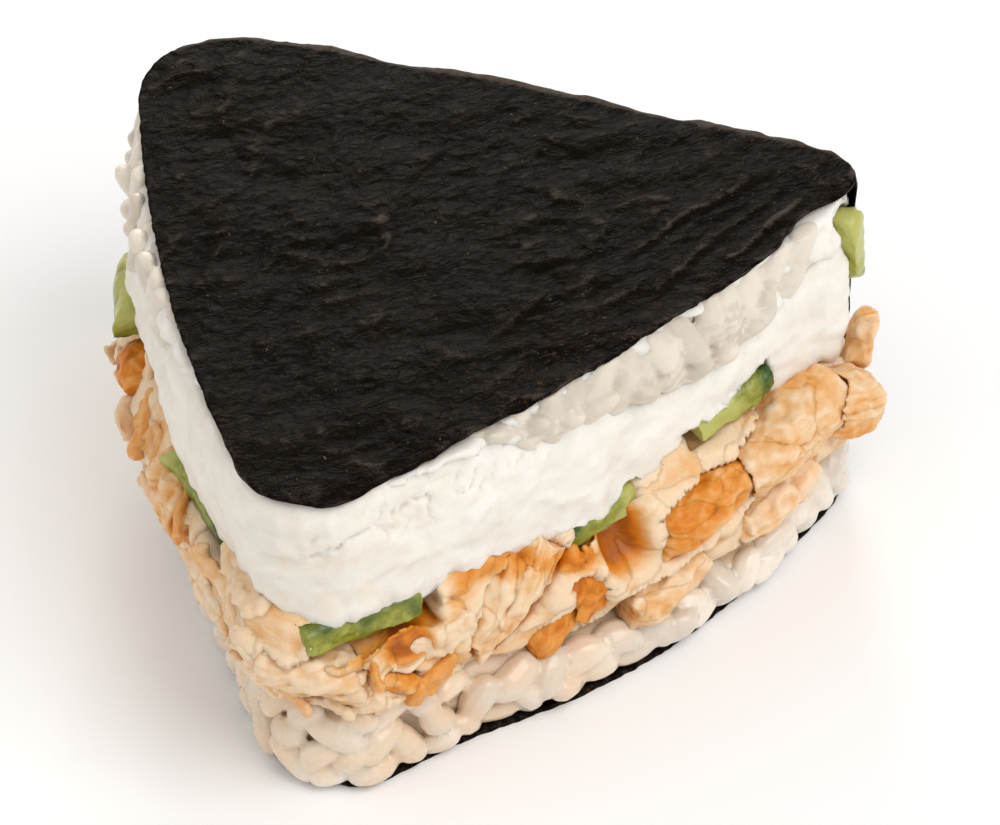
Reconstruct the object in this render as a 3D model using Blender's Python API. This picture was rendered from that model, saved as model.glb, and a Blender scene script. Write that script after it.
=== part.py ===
"""A layered onigiri sandwich: rice, chicken, cucumber, cream cheese and rice in one folded sheet of nori.

All sizes are in millimetres and turned into metres when a mesh is made. Angles run round the plan
from +X towards +Y, in degrees. The plan is a rounded triangle: tip A at the front, C at the back
right and B at the back left. The nori is one sheet that covers the top, folds down the back between
B and C and folds forward again under the rice, so that the food shows on the other two sides.
"""
import math

import bmesh
import bpy
import numpy as np
from mathutils import Matrix, Vector, noise

MM = 0.001
GAP = 0.3                       # clear space between touching pieces

# Plan of the nori: corners, the radius of each corner and the crown of each side
CORNERS = {"A": (7.4, -53.2), "C": (50.6, 29.2), "B": (-49.2, 29.2)}
CORNER_RADIUS = {"A": 9.0, "C": 5.6, "B": 11.2}
SIDE_CROWN = {"AC": 1.7, "CB": 1.4, "BA": 2.2}

HEIGHT = 43.5
NORI_THICKNESS = 0.5
NORI_WAVE = 0.25                # the top flap rises and dips by this much
NORI_WAVE_LENGTH = 14.0
NOISE_GAIN = 1.6                # noise seldom reaches its limits, so it is stretched
FOLD_RADIUS = 1.6
FOLD_EASE = 12.0                # degrees over which the fold rounds off
NORI_RINGS = (0.30, 0.55, 0.80)
WALL_FROM = 28.5                # the back panel starts at this angle, just round corner C
WALL_TO = 149.0                 # and ends here, in the middle of corner B
WALL_ROWS = 5
LOWER_FLAP_SPREAD = 4.0         # how far the lower flap reaches past the upper one on side AC
LOWER_FLAP_FROM = -62.0         # it starts to do so at this angle, and ends at the back panel
LOWER_TIP_CUT = 3.4             # corner C is this much blunter at the bottom than at the top
LOWER_TIP_AT = 29.0
UPPER_NIP = 2.7                 # the upper flap's edge dips in this much next to corner C
UPPER_NIP_AT = 22.5
LOWER_NIP = 1.2                 # the lower flap stops this far short of the rice at corner A
LOWER_NIP_AT = -82.0
TIP_WIDTH = 6.0                 # degrees over which these three fade

FILL_FLOOR = NORI_THICKNESS + GAP
FILL_TOP = HEIGHT - 2 * NORI_WAVE - NORI_THICKNESS - GAP

# Every layer is described at these angles, and runs smoothly from one to the next
BEARINGS = (-90, -60, -30, 0, 30, 60, 90, 120, 150, 180, 210, 240)
#                A           side AC   C      back          B       side BA
CHICKEN_FLOOR = (14.0, 10.0, 6.5, 6.0, 9.0, 9.0, 9.0, 9.0, 10.0, 11.0, 12.0, 13.0)
CREAM_FLOOR = (27.5, 25.5, 22.3, 24.8, 21.5, 22.0, 22.0, 22.0, 23.0, 24.0, 26.0, 27.0)
RICE_FLOOR = (41.6, 41.0, 35.0, 31.0, 36.0, 33.0, 32.0, 32.0, 33.0, 34.0, 36.0, 40.5)
MIDDLE = {"chicken": 9.0, "cream": 24.0, "rice": 33.0}    # the same three levels at the centre

# How far each layer stands out past the edge of the upper flap
RICE_BOTTOM_SPREAD = (1.0, 1.5, 3.2, 5.2, 1.0, -1.0, -1.0, -1.0, 1.5, 1.8, 1.8, 1.2)
CHICKEN_SPREAD = (3.0, 1.6, 2.2, 4.8, 2.0, -1.0, -1.0, -1.0, 2.6, 4.8, 4.6, 4.0)
CREAM_SPREAD = (0.8, 0.6, 0.4, 0.4, 0.4, -1.0, -1.0, -1.0, 1.5, 2.0, 1.6, 1.0)
RICE_TOP_SPREAD = (-9.0, 0.2, 0.5, 0.8, 0.5, -1.0, -1.0, -1.0, 1.0, 2.8, 2.6, 0.2)

AROUND = 96                     # steps round the plan
WALL_SPARE = 3.6                # degrees past the back panel's ends where the food still keeps inside it
ROWS = (0.0, 0.10, 0.34, 0.66, 0.90, 1.0)    # a layer's wall, from its lower rim to its upper rim
WALL_FULLNESS = 0.4             # lower is fuller: the wall comes out sooner from its rims
RIM_INSET = 1.0                 # the rims lie this far inside the upper flap's edge
WALL_RIM_INSET = 1.8            # and this far where the sheet folds round them
WALL_CLEARANCE = 0.9            # the layers stop this far inside the back panel's face
CORE_RING = 0.62                # the ring between centre and rim, as a share of the reach
RICE_LUMPS = (1.3, 4.0)         # height and size of the lumps on a layer's wall
CHICKEN_LUMPS = (2.2, 5.0)
CREAM_LUMPS = (0.6, 7.0)

MEAT_SIDES = 7                  # sides and sections of a torn piece of chicken
MEAT_SECTIONS = 5
MEAT_ROUGHNESS = 0.16           # how uneven a section is, as a share of its size
MEAT_END = 0.72                 # size of the end sections, as a share of the middle one
MEAT_SLANT = 0.1                # how far the torn ends slant, as a share of the length
SKIN_ROUNDING = 0.45            # radius of a cucumber stick's skin side, as a share of its thickness
SKIN_STEPS = 4

COLOURS = {
    "nori": (0.012, 0.011, 0.010, 1.0),
    "rice": (0.78, 0.74, 0.66, 1.0),
    "cream": (0.90, 0.85, 0.77, 1.0),
    "cucumber": (0.34, 0.45, 0.07, 1.0),
    "chicken": (0.80, 0.54, 0.30, 1.0),
    "smoked": (0.72, 0.30, 0.06, 1.0),
}
ROUGHNESS = {"nori": 0.55, "rice": 0.35, "cream": 0.5, "cucumber": 0.35, "chicken": 0.5, "smoked": 0.4}


# ---------------------------------------------------------------- plan

def corner_points(name, before, after, steps):
    """The arc that rounds one corner, from the side that arrives to the side that leaves."""
    tip = Vector(CORNERS[name])
    radius = CORNER_RADIUS[name]
    to_before = (Vector(CORNERS[before]) - tip).normalized()
    to_after = (Vector(CORNERS[after]) - tip).normalized()
    half = to_before.angle(to_after) / 2
    centre = tip + (to_before + to_after).normalized() * (radius / math.sin(half))
    start = tip + to_before * (radius / math.tan(half)) - centre
    turn = math.pi - 2 * half
    return [centre + Matrix.Rotation(turn * i / steps, 2) @ start for i in range(steps + 1)]


def plan_curve():
    """The nori's outline, anticlockwise: three arcs joined by three gently crowned sides."""
    order = "ACB"
    arcs = [corner_points(name, order[i - 1], order[(i + 1) % 3], 16) for i, name in enumerate(order)]
    points = []
    for i, arc in enumerate(arcs):
        start, end = arc[-1], arcs[(i + 1) % 3][0]
        side = end - start
        outward = Vector((side.y, -side.x)).normalized()
        crown = SIDE_CROWN[order[i] + order[(i + 1) % 3]]
        points += arc
        points += [start + side * u + outward * crown * 4 * u * (1 - u) for u in np.linspace(0, 1, 40)[1:-1]]
    return np.array(points)


PLAN = plan_curve()
PLAN_ANGLE = np.unwrap(np.arctan2(PLAN[:, 1], PLAN[:, 0]))
PLAN_REACH = np.hypot(PLAN[:, 0], PLAN[:, 1])


def reach(angle):
    """Distance from the centre to the outline, at an angle in degrees."""
    return float(np.interp(math.radians(angle), PLAN_ANGLE, PLAN_REACH, period=2 * math.pi))


def near(angle, middle):
    """1 at the middle angle, fading to 0 within a few degrees."""
    away = (angle - middle + 180) % 360 - 180
    return math.exp(-(away / TIP_WIDTH) ** 2)


def edge(angle, z):
    """Distance from the centre to the block's face at a height."""
    return reach(angle) - LOWER_TIP_CUT * near(angle, LOWER_TIP_AT) * (1 - z / HEIGHT)


def even_angles(count):
    """Angles that step round the outline in equal lengths."""
    closed = np.vstack([PLAN, PLAN[:1]])
    along = np.concatenate([[0], np.cumsum(np.hypot(*np.diff(closed, axis=0).T))])
    turned = np.append(PLAN_ANGLE, PLAN_ANGLE[0] + 2 * math.pi)
    steps = np.linspace(0, along[-1], count, endpoint=False)
    return [math.degrees(a) for a in np.interp(steps, along, turned)]


ANGLES = even_angles(AROUND)


def mix(low, high, share):
    return low * (1 - share) + high * share


def at_bearing(values, angle):
    """A layer's value at any angle, eased between the bearings."""
    step = ((angle - BEARINGS[0]) % 360) / (BEARINGS[1] - BEARINGS[0])
    i = int(step)
    ease = (1 - math.cos(math.pi * (step - i))) / 2
    return mix(values[i], values[(i + 1) % len(BEARINGS)], ease)


def polar(angle, radius, z):
    """A point at an angle and a distance from the centre."""
    return Vector((radius * math.cos(math.radians(angle)), radius * math.sin(math.radians(angle)), z))


def behind_wall(angle):
    """True where the back panel covers the food, with a little to spare."""
    return WALL_FROM - WALL_SPARE <= angle % 360 <= WALL_TO + WALL_SPARE


# ---------------------------------------------------------------- making objects

def material(name):
    made = bpy.data.materials.new(name)
    made.use_nodes = True
    shader = made.node_tree.nodes["Principled BSDF"]
    shader.inputs["Base Color"].default_value = COLOURS[name]
    shader.inputs["Roughness"].default_value = ROUGHNESS[name]
    shader.inputs["Metallic"].default_value = 0.0
    return made


def new_object(name, points, faces, finish=None):
    """A mesh object from points in millimetres; without a finish it is a cutter."""
    mesh = bpy.data.meshes.new(name)
    mesh.from_pydata([Vector(p) * MM for p in points], [], faces)
    mesh.validate()
    obj = bpy.data.objects.new(name, mesh)
    bpy.context.scene.collection.objects.link(obj)
    if finish is None:
        obj.hide_render = True
        obj.display_type = "WIRE"
    else:
        mesh.materials.append(finish)
        mesh.shade_smooth()
        mesh.set_sharp_from_angle(angle=math.radians(40))
    return obj


def ring_faces(lower, upper, count):
    """Triangles that join two rings of the same count, the upper one following the lower outwards."""
    faces = []
    for i in range(count):
        j = (i + 1) % count
        faces.append((lower + i, lower + j, upper + i))
        faces.append((upper + i, lower + j, upper + j))
    return faces


def fan_faces(ring, tip, count, up):
    """Triangles from a ring to one point, facing up or down."""
    faces = [(ring + i, ring + (i + 1) % count, tip) for i in range(count)]
    return faces if up else [face[::-1] for face in faces]


def cut(target, cutters):
    """Take the cutters' shapes out of the target, where their boxes meet."""
    for cutter in cutters:
        a, b = box(target), box(cutter)
        if all(a[0][k] < b[1][k] and b[0][k] < a[1][k] for k in range(3)):
            pocket = target.modifiers.new("pocket_" + cutter.name, "BOOLEAN")
            pocket.operation = "DIFFERENCE"
            pocket.solver = "EXACT"
            pocket.object = cutter


def box(obj):
    points = [v.co for v in obj.data.vertices]
    low = [min(p[k] for p in points) for k in range(3)]
    high = [max(p[k] for p in points) for k in range(3)]
    return low, high


# ---------------------------------------------------------------- nori

def wave(x, y):
    """Height of the upper flap's gentle waves, kept within their limit."""
    height = NORI_WAVE * NOISE_GAIN * noise.noise(Vector((x, y, 0)) / NORI_WAVE_LENGTH)
    return max(-NORI_WAVE, min(NORI_WAVE, height))


def fold_radius(angle):
    """The fold is sharp at the panel's two ends and rounds off within a few degrees."""
    from_end = min(angle % 360 - WALL_FROM, WALL_TO - angle % 360)
    return FOLD_RADIUS * min(1.0, 0.25 + 0.75 * from_end / FOLD_EASE)


def make_nori(finish):
    """One open sheet, thickened inwards: upper flap, back panel and lower flap."""
    sheet = bmesh.new()
    on_wall = [WALL_FROM <= a % 360 <= WALL_TO for a in ANGLES]
    fold = [fold_radius(a) if w else 0.0 for a, w in zip(ANGLES, on_wall)]

    def vertex(angle, radius, z):
        return sheet.verts.new(polar(angle, radius, z) * MM)

    def flap_z(angle, radius):
        p = polar(angle, radius, 0)
        return HEIGHT - NORI_WAVE + wave(p.x, p.y)

    top_rim = [vertex(a, reach(a) - UPPER_NIP * near(a, UPPER_NIP_AT) - f,
                      HEIGHT - NORI_WAVE if f else flap_z(a, reach(a)))
               for a, f in zip(ANGLES, fold)]
    rings = [[vertex(a, reach(a) * share, flap_z(a, reach(a) * share)) for a in ANGLES[::2]]
             for share in NORI_RINGS]
    centre = vertex(0, 0, flap_z(0, 0))
    half = AROUND // 2
    for i in range(half):
        j = (i + 1) % half
        sheet.faces.new((rings[0][i], rings[0][j], centre))
        for inner, outer in zip(rings, rings[1:]):
            sheet.faces.new((outer[i], outer[j], inner[j], inner[i]))
        a, b, c = top_rim[2 * i], top_rim[2 * i + 1], top_rim[(2 * i + 2) % AROUND]
        sheet.faces.new((a, b, rings[-1][i]))
        sheet.faces.new((b, c, rings[-1][j], rings[-1][i]))

    def lower_reach(angle):
        share = ((angle - LOWER_FLAP_FROM) % 360) / (WALL_FROM - LOWER_FLAP_FROM)
        spread = LOWER_FLAP_SPREAD * math.sin(math.pi * share) if share < 1 else 0.0
        return edge(angle, 0) + spread - LOWER_NIP * near(angle, LOWER_NIP_AT)

    bottom_rim = [vertex(a, (edge(a, 0) if w else lower_reach(a)) - f, 0.0)
                  for a, f, w in zip(ANGLES, fold, on_wall)]
    sheet.faces.new(bottom_rim[::-1])

    columns = []
    for a, w, low, high in zip(ANGLES, on_wall, bottom_rim, top_rim):
        if not w:
            columns.append(None)
            continue
        column = [low]
        radius = fold_radius(a)
        turn = radius * (1 - math.cos(math.pi / 4))
        column.append(vertex(a, edge(a, 0) - turn, turn))
        for z in np.linspace(radius, HEIGHT - NORI_WAVE - radius, WALL_ROWS):
            column.append(vertex(a, edge(a, z), z))
        column.append(vertex(a, reach(a) - turn, HEIGHT - NORI_WAVE - turn))
        column.append(high)
        columns.append(column)
    for i, column in enumerate(columns):
        following = columns[(i + 1) % AROUND]
        if column and following:
            for k in range(len(column) - 1):
                sheet.faces.new((column[k], following[k], following[k + 1], column[k + 1]))

    mesh = bpy.data.meshes.new("nori_wrap")
    sheet.to_mesh(mesh)
    sheet.free()
    mesh.materials.append(finish)
    mesh.shade_smooth()
    obj = bpy.data.objects.new("nori_wrap", mesh)
    bpy.context.scene.collection.objects.link(obj)
    thick = obj.modifiers.new("thickness", "SOLIDIFY")
    thick.thickness = NORI_THICKNESS * MM
    thick.offset = -1.0
    thick.use_even_offset = True
    return obj


# ---------------------------------------------------------------- layers

def level(values, middle, angle, radius):
    """Height of the surface between two layers: straight from the centre out to the edge."""
    share = min(1.0, radius / reach(angle))
    return middle + (at_bearing(values, angle) - middle) * share


def make_layer(name, finish, floor, top, spread, lumps):
    """One layer: a floor and a top that meet the layers next to it, and an uneven wall between them.

    floor and top are functions of angle and radius. The wall stands out by the spread in its middle
    and comes back to the rims.
    """
    lump_height, lump_size = lumps
    own_place = Vector((float(len(name)), 0, 0))
    points = []
    rings = []

    def add_ring(radius_at, height_at):
        rings.append(len(points))
        for angle in ANGLES:
            radius = radius_at(angle)
            points.append(polar(angle, radius, height_at(angle, radius)))

    def rim(angle, share):
        face = edge(angle, mix(floor(angle, reach(angle)), top(angle, reach(angle)), share))
        if behind_wall(angle):
            return face - WALL_RIM_INSET
        return face + min(-RIM_INSET, at_bearing(spread, angle))

    add_ring(lambda a: reach(a) * CORE_RING, floor)
    for share in ROWS:
        bulge = math.sin(math.pi * share) ** WALL_FULLNESS if 0 < share < 1 else 0.0

        def wall_radius(angle, bulge=bulge, share=share):
            inside = rim(angle, share)
            z = mix(floor(angle, inside), top(angle, inside), share)
            lump = lump_height * noise.noise(polar(angle, reach(angle), z) / lump_size + own_place)
            stand = max(0.0, at_bearing(spread, angle) + RIM_INSET + lump)
            if behind_wall(angle):
                stand = WALL_RIM_INSET - WALL_CLEARANCE
            return inside + stand * bulge

        def wall_height(angle, _, share=share):
            inside = rim(angle, share)
            return mix(floor(angle, inside), top(angle, inside), share)

        add_ring(wall_radius, wall_height)
    add_ring(lambda a: reach(a) * CORE_RING, top)

    faces = []
    for lower, upper in zip(rings, rings[1:]):
        faces += ring_faces(lower, upper, AROUND)
    points.append(Vector((0, 0, floor(0, 0))))
    faces += fan_faces(rings[0], len(points) - 1, AROUND, up=False)
    points.append(Vector((0, 0, top(0, 0))))
    faces += fan_faces(rings[-1], len(points) - 1, AROUND, up=True)
    return new_object(name, points, faces, finish)


# ---------------------------------------------------------------- pieces in the filling

def seat(angle, out, z, turn, tip):
    """Frame of a piece at the wall: X along the wall, Y outwards, Z up, then turned and tipped."""
    here = polar(angle, reach(angle) + out, z)
    ahead = polar(angle + 1, reach(angle + 1) + out, z)
    along = (ahead - here).normalized()
    outward = Vector((along.y, -along.x, 0))
    axes = Matrix((along, outward, Vector((0, 0, 1)))).transposed().to_4x4()
    return (Matrix.Translation(here) @ axes @ Matrix.Rotation(math.radians(turn), 4, "Z")
            @ Matrix.Rotation(math.radians(tip), 4, "Y"))


def torn_shape(length, depth, height, seed, grow):
    """A torn lump of meat: sections across its fibres, each a little different, with slanted ends."""
    points = []
    for i in range(MEAT_SECTIONS):
        share = i / (MEAT_SECTIONS - 1)
        swell = MEAT_END + (1 - MEAT_END) * math.sin(math.pi * share)
        for k in range(MEAT_SIDES):
            turn = 2 * math.pi * (k + (i % 2) / 2) / MEAT_SIDES
            rough = 1 + MEAT_ROUGHNESS * noise.noise(Vector((2 * i + 5 * seed, 2 * k, seed)) * 0.97)
            slant = MEAT_SLANT * length * math.sin(turn) * (0.5 - share)
            points.append(Vector(((share - 0.5) * length + slant + grow * (2 * share - 1),
                                  math.cos(turn) * (depth / 2 * swell * rough + grow),
                                  math.sin(turn) * (height / 2 * swell * rough + grow))))
    faces = []
    for i in range(MEAT_SECTIONS - 1):
        for k in range(MEAT_SIDES):
            a, b = i * MEAT_SIDES + k, i * MEAT_SIDES + (k + 1) % MEAT_SIDES
            c, d = a + MEAT_SIDES, b + MEAT_SIDES
            faces += [(a, c, b), (b, c, d)] if i % 2 == 0 else [(a, c, d), (a, d, b)]
    faces.append(tuple(range(MEAT_SIDES)))
    faces.append(tuple(reversed(range(len(points) - MEAT_SIDES, len(points)))))
    return points, faces


def stick_shape(length, depth, height, grow):
    """A cut stick of cucumber: flat sides, and the round skin along its upper outer edge."""
    half_depth, half_height = depth / 2 + grow, height / 2 + grow
    rounding = SKIN_ROUNDING * min(depth, height)
    section = [(-half_depth, -half_height), (half_depth, -half_height)]
    for i in range(SKIN_STEPS + 1):
        turn = math.pi / 2 * i / SKIN_STEPS
        section.append((half_depth - rounding * (1 - math.cos(turn)),
                        half_height - rounding * (1 - math.sin(turn))))
    section.append((-half_depth, half_height))
    count = len(section)
    ends = (-length / 2 - grow, length / 2 + grow)
    points = [Vector((x, y, z)) for x in ends for y, z in section]
    faces = [tuple(range(count)), tuple(reversed(range(count, 2 * count)))]
    for k in range(count):
        j = (k + 1) % count
        faces.append((k, k + count, j + count, j))
    return points, faces


# name, angle, how far it stands proud of the filling, z, length along the fibres, depth, height,
# turn, tip, seed, finish
CHICKEN_PIECES = (
    ("chicken_shred_tip", -80, 0.6, 18.5, 12, 7, 7, 0, 12, 1, "chicken"),
    ("chicken_strip_smoked", -69, 0.9, 15.0, 6, 4, 3, 0, 30, 2, "smoked"),
    ("chicken_chunk_fibrous", -49, 1.4, 18.0, 15, 9, 9, 0, -34, 3, "chicken"),
    ("chicken_wedge_smoked_low", -40, 0.8, 10.4, 8, 6, 6, 0, -30, 4, "smoked"),
    ("chicken_wedge_smoked_high", -33, 1.2, 12.6, 6, 6, 9, 0, 0, 5, "smoked"),
    ("chicken_chunk_low", -16, 2.6, 9.2, 11, 8, 7, 0, -8, 6, "chicken"),
    ("chicken_chunk_smoked", -7, 2.2, 17.0, 13, 9, 8, 0, -8, 7, "smoked"),
    ("chicken_chunk_right", 10, 3.6, 19.5, 17, 10, 9, 0, -10, 8, "chicken"),
    ("chicken_chunk_right_low", 7, 2.4, 11.5, 12, 8, 6, 0, -6, 9, "chicken"),
    ("chicken_flakes_right", 18, 6.0, 18.5, 9, 9, 9, 0, 40, 10, "chicken"),
    ("chicken_flake_corner", 24, 1.4, 22.4, 8, 4.4, 2.8, 0, -66, 11, "chicken"),
    ("chicken_lump_left", -120, 2.6, 23.0, 9, 7, 9, 0, 10, 12, "smoked"),
    ("chicken_point_left", -163, 2.0, 22.0, 7, 6, 6, 0, 0, 13, "smoked"),
    ("chicken_lump_left_far", -160, 2.4, 15.5, 8, 7, 8, 0, 0, 14, "chicken"),
)

# name, angle, how far its middle stands past the upper flap's edge, z, length, depth, height, turn, tip
CUCUMBER_PIECES = (
    ("cucumber_stick_tip", -72, -1.7, 23.0, 15, 5, 4.2, 0, 3),
    ("cucumber_stick_front", -25, -1.8, 20.9, 10, 5, 3.8, 0, -6),
    ("cucumber_stick_right", 5.5, -1.8, 25.6, 13, 5, 3.5, 6, -10),
    ("cucumber_slice_corner", 27, -2.2, 35.2, 4, 4.0, 11, 0, 0),
    ("cucumber_stick_left_near", -106, -0.8, 27.2, 20, 5, 3.2, 0, 4),
    ("cucumber_stick_left_far", 183, 2.8, 26.8, 14, 5, 4.2, 0, -4),
)


def make_piece(name, shape, frame, finish, grow):
    """One loose piece, or with grow the cutter that makes room for it."""
    points, faces = shape(grow)
    return new_object(name, [frame @ p for p in points], faces, finish)


def make_pieces(finishes):
    """The cucumber and the larger pieces of chicken, each in a pocket of its own."""
    pieces, cutters = [], []
    for name, angle, out, z, length, depth, height, turn, tip in CUCUMBER_PIECES:
        frame = seat(angle, out, z, turn, tip)

        def shape(grow, size=(length, depth, height)):
            return stick_shape(*size, grow)

        piece = make_piece(name, shape, frame, finishes["cucumber"], 0.0)
        cut(piece, cutters)
        pieces.append(piece)
        cutters.append(make_piece("room_" + name, shape, frame, None, GAP))
    for name, angle, out, z, length, depth, height, turn, tip, seed, finish in CHICKEN_PIECES:
        frame = seat(angle, at_bearing(CHICKEN_SPREAD, angle) + out - depth / 2, z, turn, tip)

        def shape(grow, size=(length, depth, height, seed)):
            return torn_shape(*size, grow)

        piece = make_piece(name, shape, frame, finishes[finish], 0.0)
        cut(piece, cutters)
        pieces.append(piece)
        cutters.append(make_piece("room_" + name, shape, frame, None, GAP))
    return pieces, cutters


# ---------------------------------------------------------------- the whole

def chicken_floor(angle, radius):
    return level(CHICKEN_FLOOR, MIDDLE["chicken"], angle, radius)


def cream_floor(angle, radius):
    return level(CREAM_FLOOR, MIDDLE["cream"], angle, radius)


def rice_floor(angle, radius):
    return level(RICE_FLOOR, MIDDLE["rice"], angle, radius)


def make_layers(finishes):
    """The four layers, lowest first. Each stops one gap short of the surface above it."""
    def under(surface):
        return lambda angle, radius: surface(angle, radius) - GAP

    def flat(z):
        return lambda angle, radius: z

    return [
        make_layer("rice_bottom", finishes["rice"], flat(FILL_FLOOR), under(chicken_floor),
                   RICE_BOTTOM_SPREAD, RICE_LUMPS),
        make_layer("chicken_filling", finishes["chicken"], chicken_floor, under(cream_floor),
                   CHICKEN_SPREAD, CHICKEN_LUMPS),
        make_layer("cream_cheese", finishes["cream"], cream_floor, under(rice_floor),
                   CREAM_SPREAD, CREAM_LUMPS),
        make_layer("rice_top", finishes["rice"], rice_floor, flat(FILL_TOP),
                   RICE_TOP_SPREAD, RICE_LUMPS),
    ]


def centre_on_base(objects):
    """Move everything so that the middle of the whole box's underside is the origin."""
    low, high = zip(*(box(obj) for obj in objects))
    shift = Vector([-(min(p[k] for p in low) + max(p[k] for p in high)) / 2 for k in range(2)] + [0.0])
    for obj in bpy.data.objects:
        obj.data.transform(Matrix.Translation(shift))


def main():
    for obj in list(bpy.data.objects):
        bpy.data.objects.remove(obj, do_unlink=True)
    finishes = {name: material(name) for name in COLOURS}
    nori = make_nori(finishes["nori"])
    layers = make_layers(finishes)
    pieces, cutters = make_pieces(finishes)
    for layer in layers:
        cut(layer, cutters)
    centre_on_base([nori, *layers, *pieces])


main()
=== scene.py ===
"""Looks of a layered onigiri: rice, chicken, cucumber, cream cheese and rice in one sheet of nori.

Lengths are in millimetres until a mesh is made. Angles run round the plan from +X towards +Y, in
degrees, about the middle of the nori's rounded triangle. Every food piece takes its place and its
main form from the solid it stands for.
"""
import math

import bmesh
import bpy
import numpy as np
from mathutils import Matrix, Vector, noise
from mathutils.kdtree import KDTree


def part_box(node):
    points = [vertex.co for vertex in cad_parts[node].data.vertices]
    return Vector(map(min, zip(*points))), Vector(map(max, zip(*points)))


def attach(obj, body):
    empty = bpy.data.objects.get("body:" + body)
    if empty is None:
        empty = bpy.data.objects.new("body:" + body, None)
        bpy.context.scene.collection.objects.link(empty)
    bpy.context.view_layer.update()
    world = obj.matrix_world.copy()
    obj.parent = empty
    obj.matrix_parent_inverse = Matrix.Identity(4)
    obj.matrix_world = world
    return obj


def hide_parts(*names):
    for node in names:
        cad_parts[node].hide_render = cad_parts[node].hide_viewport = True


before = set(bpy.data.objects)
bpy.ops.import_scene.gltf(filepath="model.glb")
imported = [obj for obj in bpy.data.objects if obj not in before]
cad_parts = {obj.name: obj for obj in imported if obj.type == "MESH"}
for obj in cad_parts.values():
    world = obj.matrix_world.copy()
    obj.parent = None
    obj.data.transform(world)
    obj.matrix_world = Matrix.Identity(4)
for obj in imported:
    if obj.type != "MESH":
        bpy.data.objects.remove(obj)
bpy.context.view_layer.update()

MM = 0.001

# Plan of the nori, as it was cut: corners, the radius of each corner and the crown of each side
CORNERS = {"A": (7.4, -53.2), "C": (50.6, 29.2), "B": (-49.2, 29.2)}
CORNER_RADIUS = {"A": 9.0, "C": 5.6, "B": 11.2}
SIDE_CROWN = {"AC": 1.7, "CB": 1.4, "BA": 2.2}
WALL_FROM, WALL_TO = 28.5, 149.0          # the back panel's ends
LOWER_FLAP_SPREAD, LOWER_FLAP_FROM = 4.0, -62.0       # the lower flap stands out from here to the panel
LOWER_TIP_CUT, LOWER_TIP_AT = 3.4, 29.0   # how far each flap is cut back at its tips, and where
UPPER_NIP, UPPER_NIP_AT = 2.7, 22.5
LOWER_NIP, LOWER_NIP_AT = 1.2, -82.0
TIP_WIDTH = 6.0                           # degrees over which such a cut fades

NORI_THICKNESS = 0.3
NORI_REST = 0.30                          # the top flap lies this far under the highest relief
AROUND, DOWN = 450, 30                    # steps round the sheet's outline and down its back panel
TOP_RINGS, BOTTOM_RINGS = 72, 24          # rings of faces in the relief on top and in the flat lower flap
FOLD_RADIUS, FOLD_EASE = 1.6, 12.0        # a fold tightens over the last degrees of the back panel
FOLD_BENDS = [(math.sin(math.radians(turn)), 1 - math.cos(math.radians(turn))) for turn in (22.5, 45, 67.5)]
PANEL_ROOM = 0.9                          # the filling stays this far inside the sheet's outer side

CURL_AT, CURL_WIDTH, CURL_DEPTH = 262.0, 13.0, 6.0    # the lower flap's edge curls up beside A
CURL_HEIGHT, CURL_REACH = 2.2, 0.8

GRAIN = (6.4, 4.1, 3.7)                   # length, width and depth of a grain of the lower rice
PRESSED_GRAIN = (8.6, 4.0, 3.0)           # and of the upper rice, drawn out by the pressing


# ---------------------------------------------------------------- plan

def corner_points(name, before, after, steps):
    """The arc that rounds one corner, from the side that arrives to the side that leaves."""
    tip = Vector(CORNERS[name])
    radius = CORNER_RADIUS[name]
    to_before = (Vector(CORNERS[before]) - tip).normalized()
    to_after = (Vector(CORNERS[after]) - tip).normalized()
    half = to_before.angle(to_after) / 2
    centre = tip + (to_before + to_after).normalized() * (radius / math.sin(half))
    start = tip + to_before * (radius / math.tan(half)) - centre
    turn = math.pi - 2 * half
    return [centre + Matrix.Rotation(turn * i / steps, 2) @ start for i in range(steps + 1)]


def plan_curve():
    """The nori's outline, anticlockwise: three arcs joined by three gently crowned sides."""
    order = "ACB"
    arcs = [corner_points(name, order[i - 1], order[(i + 1) % 3], 24) for i, name in enumerate(order)]
    points = []
    for i, arc in enumerate(arcs):
        start, end = arc[-1], arcs[(i + 1) % 3][0]
        side = end - start
        outward = Vector((side.y, -side.x)).normalized()
        crown = SIDE_CROWN[order[i] + order[(i + 1) % 3]]
        points += arc
        points += [start + side * u + outward * crown * 4 * u * (1 - u) for u in np.linspace(0, 1, 60)[1:-1]]
    return np.array(points)


PLAN = plan_curve()
PLAN_ANGLE = np.unwrap(np.arctan2(PLAN[:, 1], PLAN[:, 0]))
PLAN_REACH = np.hypot(PLAN[:, 0], PLAN[:, 1])
ROUND = np.vstack([PLAN, PLAN[:1]])         # the outline closed, its length so far and its angle
ROUND_ALONG = np.concatenate([[0], np.cumsum(np.hypot(*np.diff(ROUND, axis=0).T))])
ROUND_ANGLE = np.append(PLAN_ANGLE, PLAN_ANGLE[0] + 2 * math.pi)
NORI_LOW, NORI_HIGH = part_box("nori_wrap")
HEIGHT = NORI_HIGH[2] / MM
FLAP_TOP = HEIGHT - NORI_REST
MIDDLE = np.array([NORI_LOW[0] / MM - PLAN[:, 0].min(), NORI_HIGH[1] / MM - PLAN[:, 1].max(), 0.0])


def reach(angle):
    """Distance from the middle to the nori's edge, at an angle in degrees."""
    return np.interp(np.radians(angle), PLAN_ANGLE, PLAN_REACH, period=2 * math.pi)


def apart(angle, middle):
    """Degrees from a middle to each angle, by the shorter way round."""
    return (angle - middle + 180) % 360 - 180


def near(angle, middle, width=TIP_WIDTH):
    """1 at the middle angle, fading to 0 over a width in degrees."""
    return np.exp(-(apart(angle, middle) / width) ** 2)


def even_angles(count):
    """Angles that step round the outline in equal lengths."""
    along = np.linspace(0, ROUND_ALONG[-1], count, endpoint=False)
    return np.degrees(np.interp(along, ROUND_ALONG, ROUND_ANGLE))


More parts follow.
